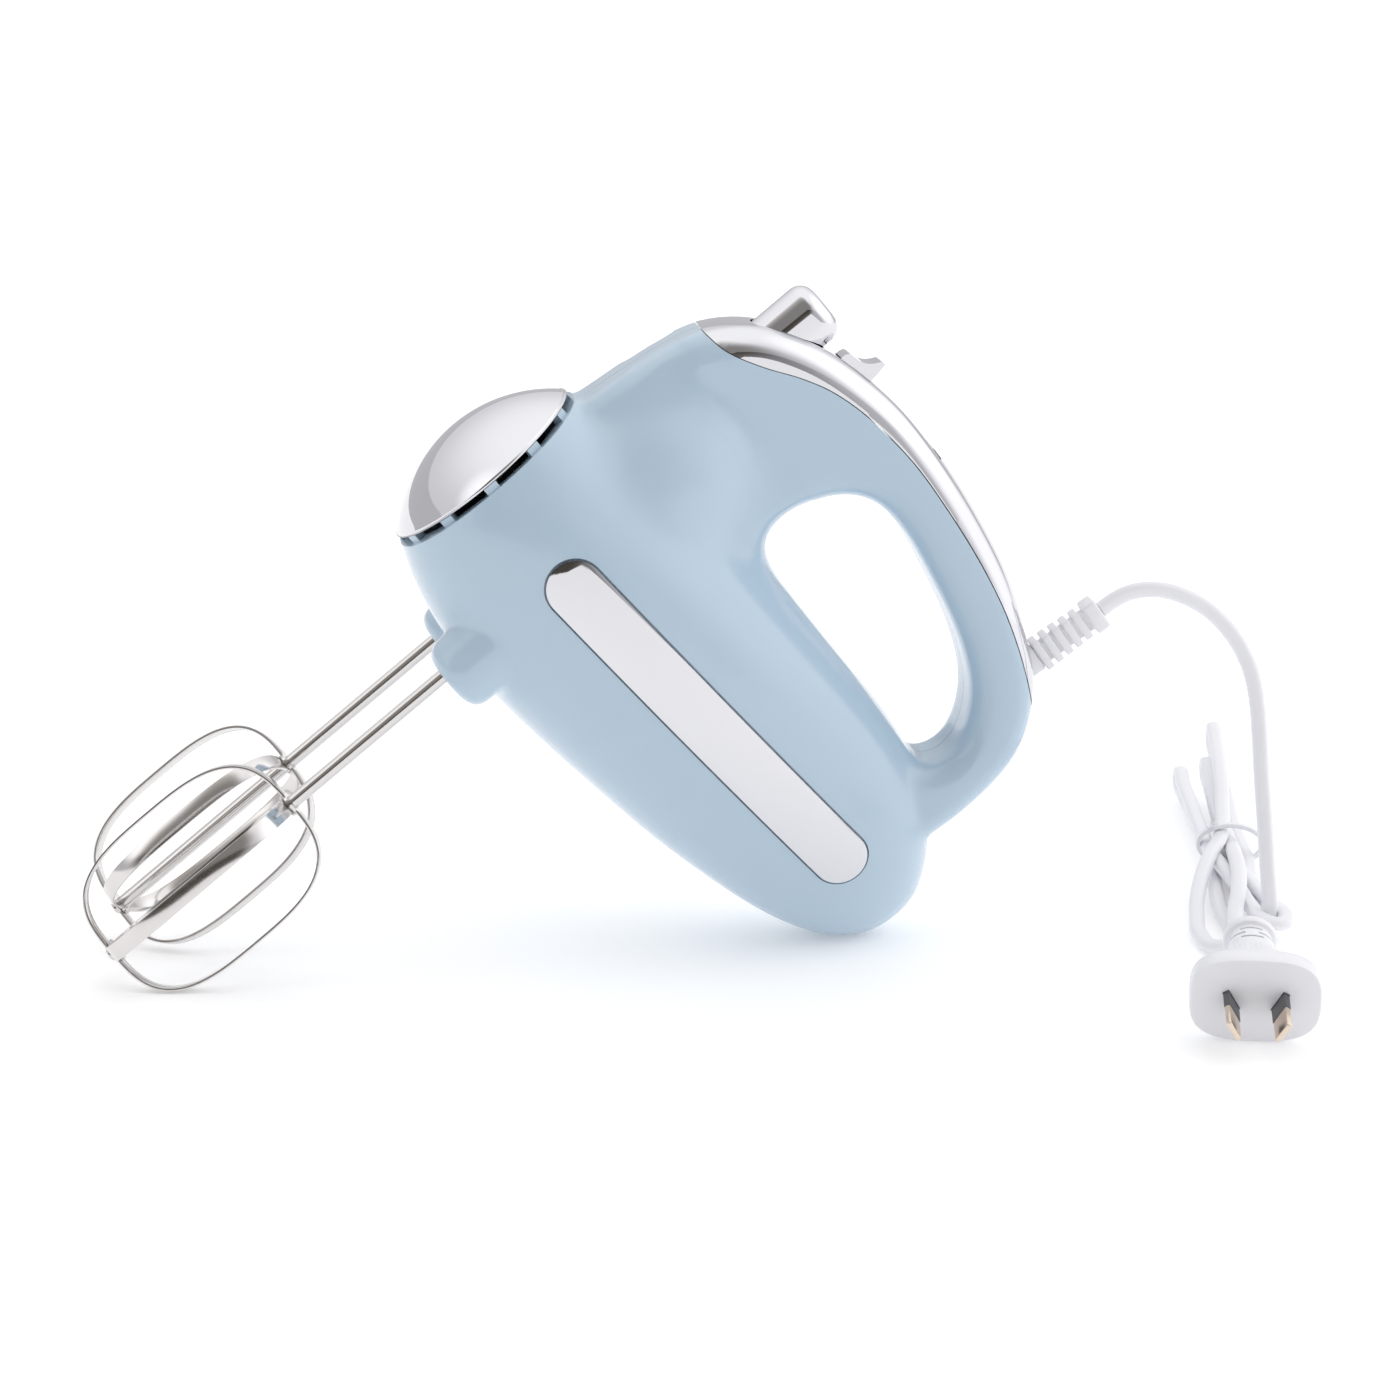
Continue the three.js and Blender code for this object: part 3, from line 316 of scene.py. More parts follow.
def oval_loft(bm, rings, segments=64):
    """Skin through rings of (y, half width, half height, squareness), closed at both ends."""
    loops = []
    for y, wide, tall, square in rings:
        made = bmesh.ops.create_circle(bm, segments=segments, radius=1)["verts"]
        for vert in made:
            across = math.copysign(abs(vert.co.x) ** (2 / square), vert.co.x) * wide
            up = math.copysign(abs(vert.co.y) ** (2 / square), vert.co.y) * tall
            vert.co = Vector((across, y, up)) * MM
        loops.append([edge for edge in bm.edges if edge.verts[0] in made and edge.verts[1] in made])
    for lower, upper in zip(loops, loops[1:]):
        bmesh.ops.bridge_loops(bm, edges=lower + upper)
    bmesh.ops.holes_fill(bm, edges=loops[0] + loops[-1])


def mesh_from(bm):
    """Mesh of a drawn bmesh with its faces turned out."""
    bm.normal_update()
    bmesh.ops.recalc_face_normals(bm, faces=bm.faces)
    mesh = bpy.data.meshes.new("tool")
    bm.to_mesh(mesh)
    bm.free()
    return mesh


def worked(mesh, *steps):
    """The mesh after a stack of modifiers, each given as (type, settings)."""
    trial = link(bpy.data.objects.new("trial", mesh))
    for kind, settings in steps:
        modifier = trial.modifiers.new(kind.lower(), kind)
        for setting, value in settings.items():
            setattr(modifier, setting, value)
    ready = trial.evaluated_get(bpy.context.evaluated_depsgraph_get())
    made = bpy.data.meshes.new_from_object(ready)
    bpy.data.objects.remove(trial)
    return made


def joined(first, second, how):
    """The first mesh cut, filled or kept by the second one."""
    tool = link(bpy.data.objects.new("tool", second))
    made = worked(first, ("BOOLEAN", {"object": tool, "operation": how, "solver": "MANIFOLD"}))
    bpy.data.objects.remove(tool)
    return made


def block(x0, x1, y0, y1, z0, z1, bevel=0):
    bm = bmesh.new()
    made = bmesh.ops.create_cube(bm, size=1)["verts"]
    bmesh.ops.scale(bm, verts=made, vec=((x1 - x0) * MM, (y1 - y0) * MM, (z1 - z0) * MM))
    middle = Vector(((x0 + x1) / 2, (y0 + y1) / 2, (z0 + z1) / 2)) * MM
    bmesh.ops.translate(bm, verts=made, vec=middle)
    if bevel:
        bmesh.ops.bevel(
            bm, geom=bm.edges, offset=bevel * MM, affect="EDGES", segments=3, profile=0.5, material=-1
        )
    return mesh_from(bm)


def placed(mesh, matrix):
    mesh.transform(matrix)
    return mesh


bm = bmesh.new()
oval_loft(bm, PLUG_RINGS)
plug = mesh_from(bm)
for side in (-1, 1):
    pocket = placed(block(*PIN_POCKET), Matrix.Rotation(side * PIN_LEAN, 4, "Y"))
    plug = joined(plug, placed(pocket, Matrix.Translation((side * PIN_APART * MM, 0, 0))), "DIFFERENCE")
for row, y in enumerate(NECK_SLITS):
    for quarter in range(4):
        slit = block(-3.2, 3.2, y - SLIT_HALF, y + SLIT_HALF, 4.4, 9)
        turn = Matrix.Rotation(math.pi / 4 * (2 * quarter + row % 2), 4, "Y")
        plug = joined(plug, placed(slit, turn), "DIFFERENCE")


def hatched_vinyl():
    """White vinyl with fine crossed lines on the grip of the plug."""
    material = white_vinyl.copy()
    material.name = "hatched_vinyl"
    nodes, links = material.node_tree.nodes, material.node_tree.links
    shader = nodes["Principled BSDF"]
    place = nodes.new("ShaderNodeTexCoord")
    to_plug = nodes.new("ShaderNodeMapping")
    to_plug.vector_type = "TEXTURE"
    to_plug.inputs["Location"].default_value = PLUG_FACE
    to_plug.inputs["Rotation"].default_value = plug_place.to_euler()
    links.new(place.outputs["Object"], to_plug.inputs["Vector"])

    def combined(how, first, second):
        math_node = nodes.new("ShaderNodeMath")
        math_node.operation = how
        links.new(first, math_node.inputs[0])
        links.new(second, math_node.inputs[1])
        return math_node.outputs["Value"]

    waves = []
    for turn in (HATCH_TURN, -HATCH_TURN):
        lines = nodes.new("ShaderNodeTexWave")
        lines.inputs["Scale"].default_value = HATCH_SCALE
        turned = nodes.new("ShaderNodeMapping")
        turned.inputs["Rotation"].default_value = (0, 0, turn)
        links.new(to_plug.outputs["Vector"], turned.inputs["Vector"])
        links.new(turned.outputs["Vector"], lines.inputs["Vector"])
        waves.append(lines.outputs["Fac"])
    apart = nodes.new("ShaderNodeSeparateXYZ")
    links.new(to_plug.outputs["Vector"], apart.inputs["Vector"])
    fades = []
    for none, full in (HATCH_FADE_IN, HATCH_FADE_OUT):
        fade = nodes.new("ShaderNodeMapRange")
        fade.interpolation_type = "SMOOTHSTEP"
        fade.inputs["From Min"].default_value = none * MM
        fade.inputs["From Max"].default_value = full * MM
        links.new(apart.outputs["Y"], fade.inputs["Value"])
        fades.append(fade.outputs["Result"])
    shown = combined("MULTIPLY", combined("MAXIMUM", *waves), combined("MULTIPLY", *fades))
    hatch = nodes.new("ShaderNodeBump")
    hatch.inputs["Strength"].default_value = 0.5
    hatch.inputs["Distance"].default_value = HATCH_DEPTH
    links.new(shown, hatch.inputs["Height"])
    links.new(shader.inputs["Normal"].links[0].from_socket, hatch.inputs["Normal"])
    links.new(hatch.outputs["Normal"], shader.inputs["Normal"])
    return material


plug_piece = finished("moulded_plug", placed(plug, plug_place), hatched_vinyl(), 40)
belongs(plug_piece, "housing", "white_vinyl", "plug_body")

# ---- plug pins ----
# Two flat bright brass blades set at an angle, sleeved in dark insulation next to the face,
# with rounded corners at the tip.
BLADE = (-0.8, 0.8, -17, 4.5, -3.2, 3.2)
BLADE_SLEEVE = (-0.95, 0.95, -7.5, 0.2, -3.35, 3.35)
pin_brass = finish(
    "pin_brass", (0.78, 0.66, 0.55), (0.7, 0.58, 0.47), 0.16, 0.26, metallic=1, scale=900
)
pin_sleeve = finish("pin_sleeve", (0.1, 0.1, 0.11), (0.08, 0.08, 0.085), 0.4, 0.5, bump=0.05)
for name, side in (("left", -1), ("right", 1)):
    blade_turn = Matrix.Rotation(side * PIN_LEAN, 4, "Y")
    blade_place = plug_place @ Matrix.Translation((side * PIN_APART * MM, 0, 0)) @ blade_turn
    blade = placed(block(*BLADE, bevel=0.35), blade_place)
    pin = finished(f"plug_blade_{name}", blade, pin_brass)
    belongs(pin, "housing", "brass", f"plug_pin_{name}")
    sleeve = placed(block(*BLADE_SLEEVE, bevel=0.3), blade_place)
    belongs(finished(f"pin_sleeve_{name}", sleeve, pin_sleeve), "housing", "black_plastic")

# ---- housing ----
# Two glossy pale blue mouldings, screwed together down the middle. The rounded motor body, the open
# grip and the two beater bosses run into one another in soft blends; the wall is 2.2 mm.
WALL = 2.2
NOSE_X = -34.6
SPINDLE_Y = 20.7
BODY_STATIONS = [
    (NOSE_X - 3, 13.2, 78.8, 32.9), (NOSE_X, 12.8, 79.2, 33.2), (-24, 8.6, 83, 36.3),
    (-8, 4.8, 86, 38.8), (12, 3.6, 89, 39.8), (36, 5, 90, 39.5), (60, 7.6, 90, 38),
    (84, 10.8, 90, 35), (105, 15, 89, 31.5), (122, 19.4, 86, 27.5), (135, 24.4, 80, 23),
    (144.5, 30, 72.5, 17.5), (151.5, 37.5, 64.5, 11), (154.6, 43.5, 58.5, 5.6), (155.4, 48, 54, 2),
]
HANDLE_TOP = [
    (-33, 78), (-31.4, 94), (-29.4, 109), (-25.5, 122), (-17, 133.5), (-5, 141.6), (9, 147),
    (28, 150.6), (48, 150.6), (70, 148.2), (92, 143.6), (110, 136.8), (122, 130.4), (131.6, 121),
    (137.6, 110), (140, 97), (140.4, 84),
]
GRIP = [
    (32.4, 101), (33.6, 111), (38.5, 121), (47, 127.4), (60, 128.6), (81, 125), (98, 120.4),
    (111, 114), (119.6, 105), (122.6, 95.5), (118.4, 88), (107, 88.3), (88, 89.6), (64, 90.2),
    (43, 91.2), (34.6, 95),
]
HANDLE_HALF = 16.5
HANDLE_ROUND = 8.2
BODY_SQUARENESS = 2.25
SHOULDER_HALF = Vector((31, 31, 44))
SHOULDER_MIDDLE = Vector((0.5, 0, 74))
VOXEL = 1.15
SKIN_PASSES = 16
BLEND_PASSES = 40
BLEND_X = (-31, 52)
BLEND_Z = (52, 114)
CAVITY_VOXEL = 2.4
FAR_X = (-60, 170)
FAR_Y = 60
FAR_Z = (-20, 175)


def smooth_line(points, steps, closed=False):
    """Points of a smooth line through the given ones."""
    points = [Vector(p) for p in points]
    count = len(points)
    line = []
    for i in range(count if closed else count - 1):
        near = [i + k if closed else min(max(i + k, 0), count - 1) for k in (-1, 0, 1, 2)]
        a, b, c, d = (points[k % count] for k in near)
        for step in range(steps):
            t = step / steps
            line.append(0.5 * (2 * b + (c - a) * t + (2 * a - 5 * b + 4 * c - d) * t * t
                               + (3 * b - a - 3 * c + d) * t ** 3))
    if not closed:
        line.append(points[-1])
    return line


def side_slab(outlines, half, rounding=0, inset=0):
    """Solid drawn in x and z by closed outlines, given a thickness in y, with rounded edges."""
    curve = bpy.data.curves.new("slab", "CURVE")
    curve.dimensions = "2D"
    curve.fill_mode = "BOTH"
    curve.extrude = (half - rounding) * MM
    curve.bevel_depth = rounding * MM
    curve.bevel_resolution = 7
    curve.offset = -(rounding + inset) * MM
    for outline in outlines:
        line = curve.splines.new("POLY")
        line.points.add(len(outline) - 1)
        line.use_cyclic_u = True
        for point, (x, z) in zip(line.points, outline):
            point.co = (x * MM, z * MM, 0, 1)
    drawn = link(bpy.data.objects.new("slab", curve))
    bpy.context.view_layer.update()
    mesh = bpy.data.meshes.new_from_object(drawn.evaluated_get(bpy.context.evaluated_depsgraph_get()))
    bpy.data.objects.remove(drawn)
    bm = bmesh.new()
    bm.from_mesh(mesh)
    bmesh.ops.remove_doubles(bm, verts=bm.verts, dist=1e-6)
    bmesh.ops.rotate(bm, verts=bm.verts, matrix=Matrix.Rotation(math.pi / 2, 3, "X"))
    return mesh_from(bm)


def handle_slab(inset=0):
    """The grip with its open middle, all round smaller by the inset."""
    outer = [(-30, 48), *[tuple(p) for p in smooth_line(HANDLE_TOP, 6)], (137, 48)]
    hole = [tuple(p) for p in smooth_line(GRIP, 6, closed=True)]
    return side_slab([outer, hole], HANDLE_HALF - inset, HANDLE_ROUND - inset, inset)


def body_rings():
    lows = smooth_line([(x, low) for x, low, _, _ in BODY_STATIONS], 4)
    highs = smooth_line([(x, high) for x, _, high, _ in BODY_STATIONS], 4)
    halves = smooth_line([(x, half) for x, _, _, half in BODY_STATIONS], 4)
    return [
        (low.x, (low.y + high.y) / 2, half.y, (high.y - low.y) / 2)
        for low, high, half in zip(lows, highs, halves)
    ]


def body_hull():
    """Skin of the motor body, lofted level and then raised ring by ring to its middle line."""
    bm = bmesh.new()
    oval_loft(bm, [(x, half, tall, BODY_SQUARENESS) for x, _, half, tall in body_rings()], 96)
    middles = {round(x, 4): middle for x, middle, _, _ in body_rings()}
    for vert in bm.verts:
        x, across, up = vert.co.y / MM, vert.co.x, vert.co.z
        nearest = min(middles, key=lambda place: abs(place - x))
        vert.co = Vector((x * MM, across, up + middles[nearest] * MM))
    return mesh_from(bm)


def post(radius, y0, y1, x, z):
    bm = bmesh.new()
    made = bmesh.ops.create_cone(
        bm, cap_ends=True, segments=32, radius1=radius * MM, radius2=radius * MM, depth=(y1 - y0) * MM
    )["verts"]
    bmesh.ops.rotate(bm, verts=made, matrix=Matrix.Rotation(math.pi / 2, 3, "X"))
    bmesh.ops.translate(bm, verts=made, vec=Vector((x, (y0 + y1) / 2, z)) * MM)
    return mesh_from(bm)


def upright(radius, z0, z1, x, y, segments=48, bevel=0):
    bm = bmesh.new()
    made = bmesh.ops.create_cone(
        bm, cap_ends=True, segments=segments, radius1=radius * MM, radius2=radius * MM,
        depth=(z1 - z0) * MM,
    )["verts"]
    bmesh.ops.translate(bm, verts=made, vec=Vector((x, y, (z0 + z1) / 2)) * MM)
    if bevel:
        rims = [
            edge for edge in bm.edges
            if len(edge.link_faces) == 2 and abs(edge.verts[0].co.z - edge.verts[1].co.z) < 1e-6
        ]
        bmesh.ops.bevel(
            bm, geom=rims, offset=bevel * MM, affect="EDGES", segments=5, profile=0.5, material=-1
        )
    return mesh_from(bm)


def along_motor(radius, x0, x1):
    mesh = upright(radius, x0, x1, 0, 0, 96)
    mesh.transform(Matrix.Translation((0, 0, AXIS_Z)) @ Matrix.Rotation(math.pi / 2, 4, "Y"))
    return mesh


def gathered(*meshes):
    bm = bmesh.new()
    for mesh in meshes:
        bm.from_mesh(mesh)
    mesh = bpy.data.meshes.new("gathered")
    bm.to_mesh(mesh)
    bm.free()
    return mesh


bm = bmesh.new()
bmesh.ops.create_uvsphere(bm, u_segments=64, v_segments=32, radius=1)
bmesh.ops.scale(bm, verts=bm.verts, vec=SHOULDER_HALF * MM)
bmesh.ops.translate(bm, verts=bm.verts, vec=SHOULDER_MIDDLE * MM)
shoulder = mesh_from(bm)
BOSS_X = 2.6
BOSS_R = 11.6
BOSS_BOTTOM = -1.6
BOSS_TOP = 44
BOSS_ROUND = 4.5
bosses = [
    upright(BOSS_R, BOSS_BOTTOM, BOSS_TOP, BOSS_X, side * SPINDLE_Y, 64, BOSS_ROUND)
    for side in (-1, 1)
]
skin = worked(
    gathered(body_hull(), handle_slab(), shoulder, *bosses),
    ("REMESH", {"mode": "VOXEL", "voxel_size": VOXEL * MM}),
    ("SMOOTH", {"factor": 0.5, "iterations": SKIN_PASSES}),
)
bm = bmesh.new()
bm.from_mesh(skin)
for margin in (0, 4, 8):
    blend = [
        vert for vert in bm.verts
        if (BLEND_X[0] + margin) * MM < vert.co.x < (BLEND_X[1] - margin) * MM
        and (BLEND_Z[0] + margin) * MM < vert.co.z < (BLEND_Z[1] - margin) * MM
    ]
    for _ in range(BLEND_PASSES):
        bmesh.ops.smooth_vert(
            bm, verts=blend, factor=0.5, use_axis_x=True, use_axis_y=True, use_axis_z=True
        )
skin = mesh_from(bm)
cavity = worked(
    skin,
    ("REMESH", {"mode": "VOXEL", "voxel_size": CAVITY_VOXEL * MM}),
    ("DISPLACE", {"strength": -WALL * MM, "mid_level": 0}),
)
SCREW_PLACES = [(143, 51), (132, 104), (97, 128), (-19, 110), (84, 20)]
TRIM_EDGE = [
    (-40, 119), (-27, 120.6), (-18, 122.4), (-8, 127.5), (2, 134), (12, 138.8), (25, 142),
    (43, 143.6), (61, 142.6), (79, 140.4), (95, 137.2), (108, 133.2), (119, 128.8), (130, 124.2),
    (150, 118),
]
BAND_FRONT = Vector((1, 45.5))
BAND_REAR = Vector((120, 51.5))


def above_trim(drop):
    edge = [(p.x, p.y - drop) for p in smooth_line(TRIM_EDGE, 6)]
    return side_slab([[*edge, (150, FAR_Z[1]), (-40, FAR_Z[1])]], 30)


def stadium(radius, steps=24):
    along = (BAND_REAR - BAND_FRONT).normalized()
    lean = math.atan2(along.y, along.x)
    outline = []
    for end, start in ((BAND_REAR, lean - math.pi / 2), (BAND_FRONT, lean + math.pi / 2)):
        for step in range(steps + 1):
            angle = start + math.pi * step / steps
            outline.append((end.x + radius * math.cos(angle), end.y + radius * math.sin(angle)))
    return outline


def outward(side, near, far):
    """Reach in y from near to far on one side of the middle, lower number first."""
    return sorted((side * near, side * far))


def displaced(mesh, distance):
    return worked(mesh, ("DISPLACE", {"strength": distance * MM, "mid_level": 0}))


GAP = 0.3
VENT_COUNT = 12
VENT_HALF = 6.3
COLLAR_R = 32.5
LIP_R = 29.3
ROUND_HOLE = 5.6
SCREW_POST_R = 3.8
SCREW_BORE_R = 1.7
SCREW_HEAD_R = 3.4
SPLIT = 0.1
BAND_R = 9
BAND_RECESS = -1.4
RELIEF_ROOT = Vector((119.6, 0, 126.5)) * MM
RELIEF_TILT = math.radians(4)
relief_place = Matrix.Translation(RELIEF_ROOT) @ Matrix.Rotation(RELIEF_TILT, 4, "Y")
collar = along_motor(COLLAR_R, NOSE_X - 2.2, NOSE_X + 1)
collar = joined(collar, along_motor(LIP_R, NOSE_X - 5, NOSE_X + 5), "DIFFERENCE")
for number in range(VENT_COUNT):
    slot_turn = Matrix.Rotation((number + 0.5) * 2 * math.pi / VENT_COUNT, 4, "X")
    slot_place = Matrix.Translation((0, 0, AXIS_Z)) @ slot_turn
    vent = placed(block(NOSE_X - 12, NOSE_X + 0.1, -VENT_HALF, VENT_HALF, 25, 37), slot_place)
    collar = joined(collar, vent, "DIFFERENCE")
shell = joined(skin, cavity, "DIFFERENCE")
shell = joined(shell, block(NOSE_X - 40, NOSE_X, -FAR_Y, FAR_Y, *FAR_Z), "DIFFERENCE")
shell = joined(shell, along_motor(LIP_R, NOSE_X - 5, NOSE_X + 4), "DIFFERENCE")
shell = joined(shell, collar, "UNION")
shell = joined(shell, above_trim(GAP), "DIFFERENCE")
for side in (-1, 1):
    shell = joined(shell, upright(ROUND_HOLE, -10, 10, 0, side * SPINDLE_Y), "DIFFERENCE")
shell = joined(shell, placed(upright(ROUND_HOLE, -9, 25, 0, 0), relief_place), "DIFFERENCE")
band_floor = displaced(body_hull(), BAND_RECESS)
recess = joined(side_slab([stadium(BAND_R)], FAR_Y), band_floor, "DIFFERENCE")
shell = joined(shell, recess, "DIFFERENCE")
shell_blue = finish(
    "shell_blue", (0.478, 0.61, 0.725), (0.465, 0.597, 0.712), 0.2, 0.25, bump=0.012, scale=700,
    Coat_Weight=0.5, Coat_Roughness=0.08,
)
for name, side in (("left", -1), ("right", 1)):
    half = block(*FAR_X, *outward(side, SPLIT, FAR_Y), *FAR_Z)
    moulding = joined(shell, half, "INTERSECT")
    bore_depth = 12 if side > 0 else 9
    for x, z in SCREW_PLACES:
        column = joined(post(SCREW_POST_R, *outward(side, SPLIT, 38), x, z), skin, "INTERSECT")
        moulding = joined(moulding, column, "UNION")
        bore = post(SCREW_BORE_R, *outward(side, -1, bore_depth), x, z)
        moulding = joined(moulding, bore, "DIFFERENCE")
        if side > 0:
            moulding = joined(moulding, post(SCREW_HEAD_R, 8, 50, x, z), "DIFFERENCE")
    moulding = finished(f"moulding_{name}", placed(moulding, LEAN), shell_blue, 32)
    belongs(moulding, "housing", "shell_blue", f"housing_{name}")

# ---- nose dome ----
# A shallow pressed cap, bright chrome, that closes the fan end. It stands 2.4 mm off the housing,
# just clear of a collar whose twelve slots let the air in.
DOME_R = 32.7
DOME_RISE = 13.5
DOME_LIP = NOSE_X - 2.4
DOME_EDGE = 0.8
DOME_INSIDE = ((0, DOME_R - 1.3), (-1.8, 29.6), (-7, 20), (-11, 8), (-12, 0))
chrome = finish(
    "bright_chrome", (0.71, 0.71, 0.735), (0.68, 0.68, 0.705), 0.03, 0.07, metallic=1, scale=300, bump=0
)
sphere_r = (DOME_R ** 2 + DOME_RISE ** 2) / (2 * DOME_RISE)
bm = bmesh.new()
profile = [bm.verts.new((-DOME_RISE * MM, 0, 0))]
for step in range(1, 25):
    radius = (DOME_R - DOME_EDGE) * step / 24
    rise = math.sqrt(sphere_r ** 2 - radius ** 2) - sphere_r + DOME_RISE
    profile.append(bm.verts.new((-rise * MM, 0, radius * MM)))
for step in range(1, 7):
    angle = math.pi / 2 * step / 6
    rise = 0.7 - 0.7 * math.sin(angle)
    profile.append(bm.verts.new((-rise * MM, 0, (DOME_R - DOME_EDGE * math.cos(angle)) * MM)))
for x, radius in DOME_INSIDE:
    profile.append(bm.verts.new((x * MM, 0, radius * MM)))
rim = [bm.edges.new(pair) for pair in zip(profile, profile[1:])]
bmesh.ops.spin(
    bm, geom=profile + rim, axis=(1, 0, 0), cent=(0, 0, 0), angle=2 * math.pi, steps=128, use_merge=True
)
dome_place = LEAN @ Matrix.Translation((DOME_LIP * MM, 0, AXIS_Z))
belongs(solid_piece("nose_cap", bm, chrome, dome_place, 30), "housing", "chrome_trim", "nose_dome")

# ---- side bands ----
# A long round-ended chrome strip let into each side of the body, standing just proud of its
# recess, with a softly rounded edge.
BAND_PROUD = 0.45
BAND_UNDER = -1
BAND_EDGE = 0.45 * MM
band_over = displaced(body_hull(), BAND_PROUD)
band_under = displaced(body_hull(), BAND_UNDER)
for name, side in (("left", -1), ("right", 1)):
    reach = side_slab([stadium(BAND_R - 2 * GAP, 48)], FAR_Y)
    strip = joined(joined(reach, band_over, "INTERSECT"), band_under, "DIFFERENCE")
    half = block(*FAR_X, *outward(side, 5, FAR_Y), *FAR_Z)
    strip = joined(strip, half, "INTERSECT")
    rounding = {"width": BAND_EDGE, "segments": 3, "angle_limit": math.radians(50)}
    strip = worked(strip, ("BEVEL", rounding))
    strip = finished(f"side_strip_{name}", placed(strip, LEAN), chrome, 30)
    belongs(strip, "housing", "chrome_trim", f"side_band_{name}")

# ---- handle trim ----
# A chromed cap along the top of the handle, from the nose shoulder to the tail. It carries the
# eject button, the slot of the speed slider and, behind it, a long raised inlay.
BUTTON_X = -7.2
INLAY_MIDDLE = 78
INLAY_LENGTH = 66
INLAY_WIDTH = 13
INLAY_ROUND = 6.4
WELL = (20, 17, 6.7, 122, 162)
SLIDER_SLOT = (-6.5, 24, -5, 5, -12, 12)


def rounded_bar(length, width, radius, z0, z1, x, bevel=0):
    """Upright bar with a round-cornered plan."""
    bm = bmesh.new()
    made = bmesh.ops.create_cube(bm, size=1)["verts"]
    bmesh.ops.scale(bm, verts=made, vec=Vector((length, width, z1 - z0)) * MM)
    bmesh.ops.translate(bm, verts=made, vec=Vector((x, 0, (z0 + z1) / 2)) * MM)
    posts = [edge for edge in bm.edges if abs(edge.verts[0].co.z - edge.verts[1].co.z) > MM]
    bmesh.ops.bevel(
        bm, geom=posts, offset=radius * MM, affect="EDGES", segments=12, profile=0.5, material=-1
    )
    if bevel:
        top = max(vert.co.z for vert in bm.verts)
        rims = [edge for edge in bm.edges if min(vert.co.z for vert in edge.verts) > top - 1e-6]
        bmesh.ops.bevel(
            bm, geom=rims, offset=bevel * MM, affect="EDGES", segments=8, profile=0.5, material=-1
        )
    return mesh_from(bm)


SLIDER_SLOPE = math.radians(7)
SLIDER_MIDDLE = Vector((13.5, 0, 147.6)) * MM
slider_place = Matrix.Translation(SLIDER_MIDDLE) @ Matrix.Rotation(-SLIDER_SLOPE, 4, "Y")
trim = joined(handle_slab(), above_trim(0), "INTERSECT")
trim = joined(trim, handle_slab(WALL), "DIFFERENCE")
trim = joined(trim, rounded_bar(*WELL, BUTTON_X), "DIFFERENCE")
trim = joined(trim, placed(block(*SLIDER_SLOT), slider_place), "DIFFERENCE")
bed = rounded_bar(INLAY_LENGTH, INLAY_WIDTH, INLAY_ROUND, 130, 170, INLAY_MIDDLE)
trim = joined(trim, joined(bed, handle_slab(0.9), "DIFFERENCE"), "DIFFERENCE")
trim = joined(trim, placed(upright(ROUND_HOLE, -9, 25, 0, 0), relief_place), "DIFFERENCE")
belongs(finished("handle_cap", placed(trim, LEAN), chrome, 30), "housing", "chrome_trim", "handle_trim")

inlay = rounded_bar(
    INLAY_LENGTH - 2 * GAP, INLAY_WIDTH - 2 * GAP, INLAY_ROUND - GAP, 130, 170, INLAY_MIDDLE
)
inlay = joined(joined(inlay, handle_slab(-0.5), "INTERSECT"), handle_slab(0.6), "DIFFERENCE")
inlay = finished("handle_strip", placed(inlay, LEAN), chrome, 30)
belongs(inlay, "housing", "chrome_trim", "handle_inlay")

# ---- eject button ----
# A tall chromed thumb button with well-rounded shoulders; pressing it down the slope pushes the
# beaters out.
BUTTON = (19.4, 16.4, 7.9, 126, 153)
button = rounded_bar(*BUTTON, BUTTON_X, bevel=5)
button = finished("thumb_button", placed(button, LEAN), chrome, 30)
belongs(button, "eject", "chrome_trim", "eject_button")

# ---- speed slider ----
# A small chromed tab with a hooked back edge, moulded in one with the plate that slides under the
# trim and the contact that runs in the switch.
RAMP = [
    (-5, -1), (4.6, -1), (5.4, 6.6), (4.9, 7.4), (3.9, 7.2), (2.6, 5.4), (0.9, 3.9), (-1.6, 2.9),
    (-5, 2.4),
]
TAB_HALF = 4.5
TAB_STEM = (-3, 3, -3, 3, -4, 0)
TAB_PLATE = (-6, 7, -7, 7, -5, -3.4)
TAB_CONTACT = (-2.5, 2.5, -1.5, 1.5, -9, -4)
tab = side_slab([[tuple(p) for p in smooth_line(RAMP, 3, closed=True)]], TAB_HALF)
for part in (TAB_STEM, TAB_PLATE, TAB_CONTACT):
    tab = joined(tab, block(*part), "UNION")
tab = finished("slider_tab", placed(tab, LEAN @ slider_place), chrome, 40)
belongs(tab, "slider", "chrome_trim", "speed_slider")

# ---- strain relief ----
# A tapered white vinyl sleeve where the lead leaves the tail: a plain root, slotted ribs that let
# it flex, and a square end block.
SLEEVE_ROOT = (-4.1, 4.1, -3.3, 3.3, -5, 9.4)
SLEEVE_CORE = (-3, 3, -2.6, 2.6, 7, 30)
SLEEVE_END = (-5, 5, -4.2, 4.2, 28.4, 33)
FLANGE_R = 6.6
RIB_COUNT = 5
RIB_START = 9.6
RIB_PITCH = 3.7
RIB_THICK = 2.4
relief = block(*SLEEVE_ROOT, bevel=0.8)
relief = joined(relief, upright(FLANGE_R, -6, -4, 0, 0), "UNION")
relief = joined(relief, block(*SLEEVE_CORE), "UNION")
for rib in range(RIB_COUNT):
    start = RIB_START + rib * RIB_PITCH
    wide = 4.9 - rib * 0.1
    ring = block(-wide, wide, -wide * 0.8, wide * 0.8, start, start + RIB_THICK, bevel=0.4)
    relief = joined(relief, ring, "UNION")
relief = joined(relief, block(*SLEEVE_END, bevel=0.9), "UNION")
relief = placed(relief, LEAN @ relief_place)
belongs(finished("cord_sleeve", relief, white_vinyl, 35), "housing", "white_vinyl", "strain_relief")

